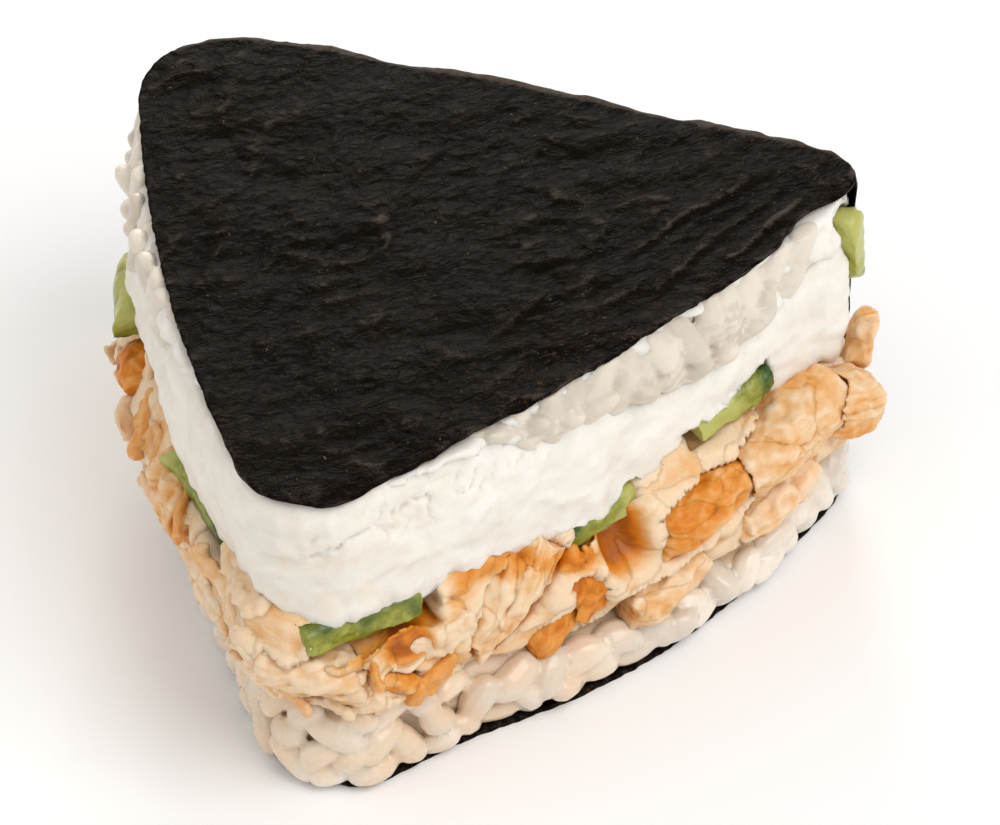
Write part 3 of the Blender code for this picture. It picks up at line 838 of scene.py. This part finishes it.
class Growth:
    """A Geometry Nodes tree under construction."""

    def __init__(self, name):
        self.tree = bpy.data.node_groups.new(name, "GeometryNodeTree")
        self.tree.interface.new_socket("Geometry", in_out="INPUT", socket_type="NodeSocketGeometry")
        self.tree.interface.new_socket("Geometry", in_out="OUTPUT", socket_type="NodeSocketGeometry")
        self.start = self.tree.nodes.new("NodeGroupInput")
        self.end = self.tree.nodes.new("NodeGroupOutput")
        self.identifiers = {}

    def size(self, name, kind="NodeSocketFloat"):
        """Adds an input of the tree, which each layer sets by its identifier."""
        item = self.tree.interface.new_socket(name, in_out="INPUT", socket_type=kind)
        self.identifiers[name] = item.identifier
        return self.start.outputs[name]

    def node(self, kind, settings=None, inputs=None, output=0):
        made = self.tree.nodes.new(kind)
        for name, value in (settings or {}).items():
            setattr(made, name, value)
        for name, value in (inputs or {}).items():
            if isinstance(value, bpy.types.NodeSocket):
                self.tree.links.new(value, made.inputs[name])
            else:
                made.inputs[name].default_value = value
        return made.outputs[output] if isinstance(output, (int, str)) else [made.outputs[o] for o in output]


def laying_tree(material, shapes):
    """Lays shapes over a surface: long side upright before each is turned, tipped and scaled."""
    g = Growth("lay_pieces")
    spacing, sink, turn = g.size("Spacing"), g.size("Sink"), g.size("Turn")
    tip, least, most = g.size("Tip"), g.size("Least"), g.size("Most")
    lean = g.size("Lean")
    seed = g.size("Seed", "NodeSocketInt")
    spots, normal = g.node("GeometryNodeDistributePointsOnFaces", {"distribute_method": "POISSON"}, {
        "Mesh": g.start.outputs["Geometry"], "Distance Min": spacing, "Density Max": 4.0e6, "Seed": seed,
    }, (0, 1))
    offset = g.node("ShaderNodeVectorMath", {"operation": "SCALE"}, {0: normal, "Scale": sink})
    spots = g.node("GeometryNodeSetPosition", inputs={"Geometry": spots, "Offset": offset})
    upright = g.node("FunctionNodeAxesToRotation", {"primary_axis": "Z", "secondary_axis": "X"},
                     {"Primary Axis": normal, "Secondary Axis": (0.0, 0.0, 1.0)})

    def minus(value):
        return g.node("ShaderNodeMath", {"operation": "MULTIPLY"}, {0: value, 1: -1.0})

    least_turn = g.node("ShaderNodeMath", {"operation": "SUBTRACT"}, {0: lean, 1: turn})
    most_turn = g.node("ShaderNodeMath", {"operation": "ADD"}, {0: lean, 1: turn})
    low = g.node("ShaderNodeCombineXYZ", inputs={"X": minus(tip), "Y": minus(tip), "Z": least_turn})
    high = g.node("ShaderNodeCombineXYZ", inputs={"X": tip, "Y": tip, "Z": most_turn})
    angles = g.node("FunctionNodeRandomValue", {"data_type": "FLOAT_VECTOR"}, {0: low, 1: high, "Seed": 11})
    twist = g.node("FunctionNodeEulerToRotation", inputs={"Euler": angles})
    rotation = g.node("FunctionNodeRotateRotation", {"rotation_space": "LOCAL"},
                      {"Rotation": upright, "Rotate By": twist})
    scale = g.node("FunctionNodeRandomValue", {"data_type": "FLOAT"}, {2: least, 3: most, "Seed": 12}, 1)
    tone = g.node("FunctionNodeRandomValue", {"data_type": "FLOAT"}, {2: 0.0, 3: 1.0, "Seed": 13}, 1)
    pick = g.node("GeometryNodeCollectionInfo", inputs={
        "Collection": shapes, "Separate Children": True, "Reset Children": True})
    laid = g.node("GeometryNodeInstanceOnPoints", inputs={
        "Points": spots, "Instance": pick, "Pick Instance": True, "Rotation": rotation, "Scale": scale})
    laid = g.node("GeometryNodeStoreNamedAttribute", {"data_type": "FLOAT", "domain": "INSTANCE"},
                  {"Geometry": laid, "Name": "tone", "Value": tone})
    laid = g.node("GeometryNodeRealizeInstances", inputs={"Geometry": laid})
    laid = g.node("GeometryNodeSetMaterial", inputs={"Geometry": laid, "Material": material})
    g.tree.links.new(laid, g.end.inputs[0])
    return g


def lay(patch, shapes, material, **sizes):
    """Replaces a surface patch by the shapes laid over it."""
    growth = laying_tree(material, shapes)
    layer = patch.modifiers.new("laid", "NODES")
    layer.node_group = growth.tree
    for name, value in sizes.items():
        layer[growth.identifiers[name]] = value
    bake(patch)
    patch.data.shade_smooth()


def shape_collection(name, shapes):
    """The shapes as a collection that a laying tree can pick from."""
    made = bpy.data.collections.new(name)
    for shape in shapes:
        made.objects.link(shape)
    return made


# ---------------------------------------------------------------- rice

# Tables by bearing: how far the lower rice may stand out beyond the nori, how far its grains are set
# back, how stained they are, and how far cream stands over the wall of the upper rice
RICE_EDGE = {262: 3.0, 278: 3.4, 292: 2.8, 310: 4.2, 330: 5.6, 0: 6.2, 20: 3.8, 30: 1.4, 150: 2.2,
             180: 2.6, 225: 2.0}
RICE_BACK = {240: 0.1, 262: 0.3, 292: 0.3, 304: 0.0, 318: -0.9, 336: -1.1, 352: -0.6, 20: 0.0,
             150: 0.0, 215: 0.0}
RICE_STAIN = {240: 0.6, 275: 1.0, 300: 1.2, 320: 0.9, 345: 0.2, 30: 0.0, 150: 0.2, 200: 0.4}
CREAM_OVER = {150: -1.0, 175: -0.9, 195: -0.6, 215: -0.1, 236: 1.6, 262: 2.3, 290: 2.0, 310: 0.8, 330: -0.8,
              350: -1.0, 10: -0.7, 18: 0.0, 23.5: 0.2, 27: 0.2, 32: 0.0}
GRAINS_SHOW = ((309, 361), (-1, 18), (100, 233))      # bearings where no cream covers the upper rice
PEACH_AT = (191.0, 4.0)                   # bearing and width of the upper rice's stain of chicken juice


def cracks(points):
    """1 along the fine cracks where the cream has dried over the rice, beside A, and 0 elsewhere."""
    line = rough(points, 3.4, 81, (1.4, 1.4, 0.8)) + 0.35 * rough(points, 1.1, 82)
    where = at_bearing(bearing(points), {270: 0.0, 288: 1.0, 318: 1.0, 335: 0.3, 350: 0.0, 240: 0.0})
    return np.exp(-(line / 0.11) ** 2) * where * np.clip((points[:, 2] - 33.5) / 2.5, 0, 1)


def finish_rice(obj, stain, rounds):
    """Stores how stained the rice is, with the painted shade of the core between the grains where that is
    passed in, and its hollows for their painted shade.
    """
    paint(obj, "stain", np.clip(stain, 0, 1))
    paint(obj, "hollow", hollows(obj, rounds) / 0.5)


def clear_of_cream(centres, normals):
    """Picks the upper rice's wall where grains show, away from the cream at A and at the tip of C."""
    return shows(1.0, HEIGHT - 2.2)(centres, normals) & within(centres, *GRAINS_SHOW)


def make_lower_rice():
    """The lower layer: loose, moist grains heaped over a core that stays inside them."""
    finish = rice_finish("rice_moist", (0.86, 0.80, 0.71), (0.66, 0.605, 0.525), 0.28, 0.5)
    core = dense_copy("rice_bottom", "rice_bottom_core", step=0.9)
    grains = surface_patch(core, "rice_bottom_grains", shows(1.2))
    places = points_of(grains)
    away, far = spokes(places)
    places[:, :2] -= away * (at_bearing(bearing(places), RICE_BACK) / far)[:, None]
    move_points(grains, places)
    points, normals = points_of(core), normals_of(core)
    inward = 2.2 + 0.4 * rough(points, 3.0, 21)
    move_points(core, points - normals * (inward * side_on(normals))[:, None])
    # the core between the grains is painted greyer and browner, as painted shade in the gaps between them
    paint(core, "tone", np.full(len(points), 0.35))
    finish_rice(core, np.full(len(points), 0.8), 1)
    shapes = shape_collection("rice_grains", [rice_grain(v, *GRAIN) for v in range(3)])
    lay(grains, shapes, finish, Spacing=4.05 * MM, Sink=-0.85 * MM, Lean=0.0, Turn=3.14, Tip=0.4,
        Least=0.85, Most=1.15, Seed=4)
    knead(grains, step=0.27, relax=1)
    points = points_of(grains)
    press(points, low=0.3, high=16.0)
    hold_in(points, at_bearing(bearing(points), RICE_EDGE), rise=0.35)
    move_points(grains, points)
    stain = at_bearing(bearing(points), RICE_STAIN) * (0.75 + 0.8 * rough(points, 4.0, 24))
    finish_rice(grains, stain, 4)
    dress(core, finish, "rice", "rice_bottom")
    dress(grains, finish, "rice")


def make_upper_rice():
    """The upper layer: a wall of cream and pressed rice, with single grains where the cream leaves off."""
    finish = rice_finish("rice_pressed", (0.76, 0.69, 0.60), (0.61, 0.55, 0.47), 0.36, 0.12)
    core = dense_copy("rice_top", "rice_top_core", step=0.5)
    points, normals = points_of(core), normals_of(core)
    over = at_bearing(bearing(points), CREAM_OVER)
    smear = over + 1.5 * rough(points, 4.2, 22, (1.0, 1.0, 0.7)) + 0.7 * rough(points, 1.6, 23) - 0.7
    smear -= 0.5 * cracks(points) + 0.6 * np.clip(1 - (points[:, 2] - rims(points)[0]) / 2.0, 0, 1)
    move_points(core, points + normals * (smear * side_on(normals))[:, None])
    wall = dense_copy("rice_top", "rice_top_wall", step=0.9)
    grains = surface_patch(wall, "rice_top_grains", clear_of_cream)
    bpy.data.objects.remove(wall)
    shapes = shape_collection("pressed_grains", [rice_grain(v, *PRESSED_GRAIN) for v in range(3)])
    lay(grains, shapes, finish, Spacing=3.8 * MM, Sink=-1.5 * MM, Lean=0.0, Turn=0.55, Tip=0.15,
        Least=0.9, Most=1.15, Seed=9)
    knead(grains, step=0.30, relax=1)
    for piece, low in ((core, 29.0), (grains, 25.5)):
        points = points_of(piece)
        press(points, low, high=FLAP_TOP - 0.75)
        move_points(piece, points)
        stain = near(bearing(points), *PEACH_AT) * (0.5 + 2.2 * rough(points, 2.6, 25))
        finish_rice(piece, stain, 4)
    dress(core, cream_finish("cream_in_rice"), "rice", "rice_top")
    dress(grains, finish, "rice")


# ---------------------------------------------------------------- cream cheese

# Tables by bearing: how far the cream's lower rim hangs down, how far its wall bulges, how spotted with
# stains it is, how far its upper rim rises over the rice, and how much warm shade is painted on it all round
CREAM_DROP = {262: 1.6, 278: 1.5, 290: 1.8, 305: 1.0, 330: 1.5, 345: 0.3, 0: 0.5, 15: 0.6, 30: 0.3,
              150: 0.5, 180: 1.2, 200: 0.9, 225: 2.0, 245: 2.8, 255: 2.4}
CREAM_BULGE = {270: 0.2, 300: 0.0, 350: 0.0, 18: 0.3, 23.5: 1.4, 27: 0.3, 32: 0.0, 150: 0.3, 170: 1.2,
               183: 2.1, 200: 1.3, 225: 1.3, 240: 1.9, 256: 1.6}
CREAM_STAIN = {240: 0.35, 270: 0.55, 290: 0.45, 305: 0.15, 330: 0.0, 30: 0.0, 150: 0.3, 200: 0.25}
CREAM_RISE = {240: 1.3, 10: 1.3, 18: 2.6, 27: 2.6, 34: 1.3}
CREAM_WARM_SHADE = {290: 0.10, 310: 0.0, 30: 0.0, 150: 0.22, 215: 0.26, 262: 0.22}


def make_cream():
    """The layer of cream: smeared and bulging, with a lip and drips below and a rim that climbs above."""
    obj = dense_copy("cream_cheese", "cream_cheese_layer", step=0.45, relax=2)
    points, normals = points_of(obj), normals_of(obj)
    angle, height = bearing(points), points[:, 2]
    away, far = spokes(points)
    wall = np.clip((far - reach(angle) + 5) / 3, 0, 1)
    side = side_on(normals)
    floor, top = rims(points)
    near_floor = np.clip(1 - (height - floor) / 3.5, 0, 1)
    near_top = np.clip(1 - (top - height) / 2.5, 0, 1)
    push = (0.35 * rough(points, 9.0, 31) + 0.38 * rough(points, 3.2, 32, (1.0, 1.0, 0.6))
            + 0.20 * rough(points, 1.3, 33) + at_bearing(angle, CREAM_BULGE) - 0.45 * cracks(points)) * side
    push += 0.4 * near_top * side
    lip = 1.1 * (1 - side) + 0.7 * rough(points, 2.1, 38)
    drips = 1.3 * rough(points, 3.0, 34, (1.0, 1.0, 9.0)) + 0.8 * rough(points, 1.2, 35, (1.0, 1.0, 5.0))
    climb = at_bearing(angle, CREAM_RISE) + 0.9 * rough(points, 3.5, 39, (1.0, 1.0, 9.0))
    moved = points + normals * push[:, None]
    moved[:, :2] += away / far[:, None] * (wall * near_floor * lip)[:, None]
    moved[:, 2] -= wall * near_floor * (at_bearing(angle, CREAM_DROP) + drips)
    moved[:, 2] += wall * near_top * climb
    move_points(obj, moved)
    # depth of the hollows, for the painted shade in them
    paint(obj, "hollow", hollows(obj, 6) / 0.5)
    spots = rough(points, 3.0, 36) + 0.5 * rough(points, 1.2, 37)
    spots = np.clip((spots - 0.25) * 3, 0, 1) * at_bearing(angle, CREAM_STAIN)
    # stains in spots, and over them a warm painted shade, strongest on the left side
    paint(obj, "stain", np.maximum(spots, at_bearing(angle, CREAM_WARM_SHADE)))
    dress(obj, cream_finish(), "cream", "cream_cheese")


# ---------------------------------------------------------------- cucumber

# node: how far it lies along, up and out from its solid, how slim it is, how much its ends taper, how
# green it is, and where its skin is left, along it, upwards and outwards
CUCUMBER = {
    "cucumber_slice_corner": ((0.0, 0.0, 0.6), 0.85, 0.4, 0.15, (0.2, -0.5, -0.3)),
    "cucumber_stick_front": ((0.0, 0.0, 0.0), 0.9, 0.2, 0.25, (-0.9, 0.2, 0.0)),
    "cucumber_stick_left_far": ((0.0, 0.0, 0.6), 0.9, 0.4, 0.3, (0.2, -0.8, 0.3)),
    "cucumber_stick_left_near": ((0.0, 0.0, 0.9), 0.75, 0.4, 0.45, (0.4, -0.4, 0.4)),
    "cucumber_stick_right": ((0.5, 0.1, 0.6), 0.95, 0.5, 0.28, (1.8, -0.3, 0.3)),
    "cucumber_stick_tip": ((-1.9, 0.8, 0.0), 0.80, 0.0, 0.38, (0.2, 0.35, 0.0)),
}


def make_cucumber():
    """The sticks and the slice, each with skin left on one side and a flat, slightly uneven cut."""
    finish = cucumber_finish()
    for index, (node, (shift, slim, taper, green, skin)) in enumerate(CUCUMBER.items()):
        obj = dense_copy(node, node.replace("cucumber_", "cut_cucumber_"), step=0.28, relax=2)
        points, normals = points_of(obj), normals_of(obj)
        middle = points.mean(axis=0)
        axes = fibre_frame(middle, 0)
        local = (points - middle) @ axes.T
        share = local / np.abs(local).max(axis=0)
        left = green + 0.5 * share @ skin + 0.25 * rough(points, 3.0, 40 + index)
        paint(obj, "skin", np.clip(left, 0, 1))
        local[:, 1:] *= slim * (1 - taper * share[:, :1] ** 2)
        push = 0.28 * rough(points, 2.2, 50 + index) + 0.09 * rough(points, 0.8, 60 + index)
        move_points(obj, middle + (local + shift) @ axes + normals * push[:, None])
        dress(obj, finish, "cucumber", node)


# ---------------------------------------------------------------- chicken

# node: direction of the fibres in the wall's plane (0 along it, 90 up), height of the ridges, how much
# the flakes step, and how browned it is on its outer side and elsewhere
CHICKEN = {
    "chicken_shred_tip": (15, 0.22, 0.9, 0.10, 0.25),
    "chicken_strip_smoked": (30, 0.10, 0.0, 0.60, 0.60),
    "chicken_chunk_fibrous": (64, 0.36, 0.8, 0.14, 0.36),
    "chicken_wedge_smoked_low": (50, 0.08, 0.0, 0.70, 0.66),
    "chicken_wedge_smoked_high": (60, 0.08, 0.0, 0.82, 0.62),
    "chicken_chunk_low": (8, 0.22, 0.7, 0.15, 0.35),
    "chicken_chunk_smoked": (0, 0.14, 0.3, 0.66, 0.50),
    "chicken_chunk_right": (12, 0.20, 0.55, 0.22, 0.40),
    "chicken_chunk_right_low": (10, 0.20, 0.6, 0.15, 0.35),
    "chicken_flakes_right": (-30, 0.20, 0.7, 0.22, 0.50),
    "chicken_flake_corner": (65, 0.14, 0.0, 0.40, 0.30),
    "chicken_lump_left": (20, 0.20, 0.5, 0.30, 0.70),
    "chicken_point_left": (0, 0.10, 0.0, 0.78, 0.70),
    "chicken_lump_left_far": (70, 0.16, 0.0, 0.05, 0.10),
}


class Flakes:
    """Overlapping torn flakes on a flat field, each with its own place, direction, size, lift and tilt."""

    def __init__(self, low, high, spacing, size, lean, scatter, lift, tilt, seed):
        rng = np.random.default_rng(seed)
        places = [(u, v) for u in np.arange(low[0], high[0] + spacing[0], spacing[0])
                  for v in np.arange(low[1], high[1] + spacing[1], spacing[1])]
        count = len(places)
        self.place = np.array(places) + rng.uniform(-0.5, 0.5, (count, 2)) * spacing
        self.turn = np.radians(lean + rng.uniform(-scatter, scatter, count))
        self.size = np.array(size) * rng.uniform(0.7, 1.35, (count, 1)) * rng.uniform(0.85, 1.2, (count, 2))
        self.lift = rng.uniform(-lift, lift, count)
        self.tilt = rng.uniform(-tilt, tilt, (count, 2))
        self.tone = rng.uniform(0, 1, count)

    def over(self, field):
        """Height, flake's tone, and the places along and across the flake, for points on the field."""
        best = np.full(len(field), -np.inf)
        tone, along, across = np.zeros((3, len(field)))
        for place, turn, size, lift, tilt, shade in zip(
                self.place, self.turn, self.size, self.lift, self.tilt, self.tone):
            du, dv = (field - place).T
            u = du * math.cos(turn) + dv * math.sin(turn)
            v = dv * math.cos(turn) - du * math.sin(turn)
            edge = np.abs(u / size[0]) ** 4 + np.abs(v / size[1]) ** 4
            height = lift + tilt[0] * u + tilt[1] * v - 0.6 * edge
            top = height > best
            best = np.where(top, height, best)
            tone = np.where(top, shade, tone)
            along = np.where(top, u, along)
            across = np.where(top, v + 40 * shade, across)
        return best, tone, along, across


def pleats(along, across, width, seed):
    """Bundles of fibres side by side: rounded ridges from 0 to 1 with sharp grooves between them."""
    field = np.column_stack([along * 0.10, across * 0.35, np.zeros(len(along))])
    phase = across / width + 0.9 * rough(field, width, seed)
    strength = 0.75 + 0.8 * rough(field, 1.2 * width, seed + 1)
    return np.sqrt(np.abs(np.sin(np.pi * phase))) * np.clip(strength, 0.1, 1.2), np.floor(phase)


# bearing, height, half width in degrees, half height and depth of each gap between the pieces
CHICKEN_GAPS = ((336.0, 18.0, 4.2, 3.4, 2.6), (292.5, 20.0, 3.4, 2.2, 1.6), (248.0, 13.0, 3.0, 3.0, 1.2))
TIP_SHREDS, LEFT_SHREDS = (238, 302), (150, 238)      # bearings between which small shreds are laid
TIP_STICK, TIP_STICK_FOOT = (271, 305), 19.6          # bearings and foot of the cucumber stick at A


def chicken_marks(obj, browned, along, across):
    """Stores how browned the piece is, with any painted shade added to it, and the way of its fibres."""
    paint(obj, "browned", np.clip(browned, 0, 1))
    paint(obj, "fibre", np.column_stack([along, across, np.zeros(len(along))]))


def smoked_band(points):
    """1 on the smoked side that shows as an orange band just under the cream, and 0 elsewhere."""
    middle = at_bearing(bearing(points), {304: 24.0, 313: 22.6, 328: 18.6, 340: 17.0, 200: 17.0})
    where = at_bearing(bearing(points), {298: 0.0, 305: 1.0, 326: 1.0, 334: 0.0})
    return where * np.exp(-((points[:, 2] - middle) / 1.6) ** 2)


def gap_depth(points):
    """How deep, in millimetres, the filling falls back between its pieces."""
    depth = np.zeros(len(points))
    angle, height = bearing(points), points[:, 2]
    for at, level, width, rise, deep in CHICKEN_GAPS:
        away = apart(angle, at) / width
        depth = np.maximum(depth, deep * np.exp(-(away ** 4 + ((height - level) / rise) ** 4)))
    return depth


def make_chicken_piece(index, node, turn, ridge, step, outer, inner, finish):
    """One torn or smoked piece: flakes stepped along its fibres, pleated, and browned outside."""
    obj = dense_copy(node, node.replace("chicken_", "torn_chicken_"), step=0.24, relax=2)
    points, normals = points_of(obj), normals_of(obj)
    middle = points.mean(axis=0)
    axes = fibre_frame(middle, turn)
    local = (points - middle) @ axes.T
    drift = np.column_stack([rough(local, 2.5, 70 + index), rough(local, 2.5, 71 + index)])
    wander = local[:, :2] + 0.5 * drift
    half = np.abs(local[:, :2]).max(axis=0)
    flakes = Flakes(-half, half, spacing=(4.6, 2.4), size=(4.4, 2.0), lean=0, scatter=12,
                    lift=0.8, tilt=0.10, seed=index)
    height, tone, along, across = flakes.over(wander)
    broad = rough(local, 4.5, 72 + index)
    folds, bundle = pleats(along, across, 1.25, 73 + index)
    lumps = 0.5 * broad + 0.45 * rough(local, 1.9, 75 + index) + 0.18 * rough(local, 0.9, 76 + index)
    push = lumps + step * 0.6 * np.maximum(height, -1.5) + ridge * (folds - 0.5) - 0.1
    facing = np.clip(normals @ (axes[2] * 0.7 + np.array([0, 0, 0.7])), 0, 1)
    browned = inner + (outer - inner) * facing + 0.14 * broad + 0.16 * (tone - 0.5)
    browned += 0.5 * smoked_band(points)
    browned += 0.16 * rough(local, 1.6, 77 + index)
    chicken_marks(obj, browned, along, across)
    ends = (np.abs(local[:, 0]) / half[0]) ** 3 * np.sign(local[:, 0])
    torn = ends * 0.8 * rough(np.column_stack([bundle * 0.9, tone * 9, bundle * 0]), 1.0, 74 + index)
    push = evened(obj, push, 1)
    move_points(obj, points + normals * push[:, None] + axes[0] * (torn * (0.3 + step))[:, None])
    # depth of the hollows, for the painted shade in them and the painted highlight on the ridges
    paint(obj, "hollow", hollows(obj, 8) / 0.4 + hollows(obj, 50) / 1.2)
    dress(obj, finish, "smoked" if outer > 0.5 or inner > 0.5 else "chicken", node)


def lay_shreds(core, name, keep, finish, spacing, turn, seed):
    """Small torn shreds over a stretch of the filling's wall."""
    patch = surface_patch(core, name, keep)
    shapes = shape_collection(name + "_shapes", [chicken_shred(v) for v in range(4)])
    lay(patch, shapes, finish, Spacing=spacing * MM, Sink=-0.3 * MM, Lean=1.45, Turn=turn, Tip=0.26,
        Least=0.6, Most=1.05, Seed=seed)
    knead(patch, step=0.26, relax=0)
    points = points_of(patch)
    tone, places = painted_numbers(patch, "tone"), painted_places(patch, "fibre")
    folds, _ = pleats(places[:, 0], places[:, 1] + 30 * tone, 0.8, seed)
    push = 0.30 * (folds - 0.5) + 0.30 * rough(points, 1.4, seed + 90)
    move_points(patch, points + normals_of(patch) * evened(patch, push, 1)[:, None])
    paint(patch, "browned", np.clip(tone ** 2 * 0.55 + 0.04, 0, 1))
    # depth of the hollows, for the painted shade in them and the painted highlight on the ridges
    paint(patch, "hollow", hollows(patch, 4) / 0.4)
    dress(patch, finish, "chicken")


def at_tip(centres, normals):
    """Picks the filling's wall at A, beside the gaps and under the tip's cucumber stick."""
    by_stick = within(centres, TIP_STICK) & (centres[:, 2] > TIP_STICK_FOOT)
    open_part = shows(1.0)(centres, normals) & (gap_depth(centres) < 0.5)
    return open_part & ~by_stick & within(centres, TIP_SHREDS)


def on_left(centres, normals):
    """Picks the filling's wall on the left side, from B almost to A."""
    return shows(1.0)(centres, normals) & within(centres, LEFT_SHREDS)


def make_chicken():
    """The torn and smoked pieces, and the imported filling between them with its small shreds."""
    finish = chicken_finish()
    for index, (node, (turn, ridge, step, outer, inner)) in enumerate(CHICKEN.items()):
        make_chicken_piece(index, node, turn, ridge, step, outer, inner, finish)

    core = dense_copy("chicken_filling", "chicken_filling_core", step=0.41, relax=1)
    points, normals = points_of(core), normals_of(core)
    field = along_wall(points)
    field += np.column_stack([rough(points, 3.0, 61), rough(points, 3.0, 62)]) * 0.8
    flakes = Flakes(field.min(axis=0), field.max(axis=0), spacing=(6.5, 3.4), size=(5.4, 2.5), lean=20,
                    scatter=35, lift=1.2, tilt=0.24, seed=5)
    height, tone, along, across = flakes.over(field)
    folds, _ = pleats(along, across, 1.3, 63)
    gap = gap_depth(points)
    crumbs = 0.45 * rough(points, 2.2, 65) + 0.20 * rough(points, 1.0, 66)
    push = (np.maximum(height, -1.8) + 0.35 * (folds - 0.5) + crumbs) * np.clip(1 - gap, 0, 1)
    push = (push + 0.2) * side_on(normals)
    away, far = spokes(points)
    moved = points + normals * evened(core, push, 3)[:, None]
    moved[:, :2] -= away * (gap / np.maximum(far, 1.0))[:, None]
    move_points(core, moved)
    # browning, with painted shade added in the gaps between the pieces
    browned = 0.10 + 0.40 * tone ** 3 + 0.3 * rough(points, 4.0, 64) + 0.6 * smoked_band(points) + 0.42 * gap
    chicken_marks(core, browned, along, across)
    # depth of the hollows, for the painted shade in them and the painted highlight on the ridges
    paint(core, "hollow", hollows(core, 6) / 0.5 + hollows(core, 25) / 1.5)
    lay_shreds(core, "chicken_shreds_tip", at_tip, finish, spacing=4.2, turn=0.35, seed=8)
    lay_shreds(core, "chicken_shreds_left", on_left, finish, spacing=5.5, turn=0.8, seed=6)
    dress(core, finish, "chicken", "chicken_filling")


# ---------------------------------------------------------------- floor, light and camera

FLOOR_REACH = 1500


def make_floor():
    """A wide pale floor under the block."""
    corners = [(x * FLOOR_REACH, y * FLOOR_REACH, 0) for x, y in ((-1, -1), (1, -1), (1, 1), (-1, 1))]
    floor = new_object("floor", corners, [(0, 1, 2, 3)])
    f = Finish("pale_floor", Roughness=0.9, Specular_IOR_Level=0.1)
    cloud = f.noise(180.0, 2.0)
    floor.data.materials.append(f.use(Base_Color=f.mix(cloud, (0.93, 0.94, 0.95), (0.95, 0.96, 0.97))))


def towards(azimuth, elevation):
    """Direction of a light or camera from the food. Azimuth 0 is in front, 90 to the right."""
    a, e = math.radians(azimuth), math.radians(elevation)
    return Vector((math.sin(a) * math.cos(e), -math.cos(a) * math.cos(e), math.sin(e)))


def add_light(name, size, power, azimuth, elevation, distance, colour):
    """A square soft light aimed at the food."""
    data = bpy.data.lights.new(name, "AREA")
    data.shape = "SQUARE"
    data.size = size
    data.energy = power
    data.color = colour
    light = link_object(name, data)
    back = towards(azimuth, elevation)
    light.location = back * distance
    light.rotation_euler = back.to_track_quat("Z", "Y").to_euler()


def make_lights():
    """A bright sky, a key light from the right, a fill from the left and a sheen from behind."""
    world = bpy.data.worlds.new("studio")
    world.use_nodes = True
    sky = world.node_tree.nodes["Background"].inputs
    sky["Color"].default_value = (1.0, 0.985, 0.960, 1.0)
    sky["Strength"].default_value = 0.60
    bpy.context.scene.world = world
    add_light("key", 0.6, 4.2, 76, 50, 0.9, (1.0, 0.985, 0.97))
    add_light("fill", 0.9, 1.4, -50, 45, 1.0, (1.0, 0.975, 0.94))
    add_light("sheen", 0.25, 2.4, 205, 26, 0.9, (1.0, 0.96, 0.90))


CAMERA_AZIMUTH, CAMERA_ELEVATION, CAMERA_ROLL = 25.26, 41.32, -4.45
CAMERA_DISTANCE = 566.5
CAMERA_ACROSS, CAMERA_UP = 10.6, -4.2     # the view is shifted this far from the middle of the block
LENS, SENSOR = 178.0, 36.0


def make_camera():
    """A long lens that looks at the middle of the block, a little rolled and shifted."""
    azimuth, roll = math.radians(CAMERA_AZIMUTH), math.radians(CAMERA_ROLL)
    back = towards(CAMERA_AZIMUTH, CAMERA_ELEVATION)
    level = Vector((math.cos(azimuth), math.sin(azimuth), 0))
    upright = back.cross(level)
    right = math.cos(roll) * level + math.sin(roll) * upright
    up = -math.sin(roll) * level + math.cos(roll) * upright
    target = Vector(MIDDLE) + Vector((0, 0, HEIGHT / 2))
    data = bpy.data.cameras.new("camera")
    data.lens = LENS
    data.sensor_width = SENSOR
    data.clip_start = 0.01
    camera = link_object("camera", data)
    place = (target + back * CAMERA_DISTANCE + right * CAMERA_ACROSS + up * CAMERA_UP) * MM
    camera.matrix_world = Matrix.Translation(place) @ Matrix((right, up, back)).transposed().to_4x4()
    bpy.context.scene.camera = camera


make_nori()
make_lower_rice()
make_upper_rice()
make_cream()
make_cucumber()
make_chicken()
make_floor()
make_lights()
make_camera()
bpy.context.scene.view_settings.view_transform = "Standard"
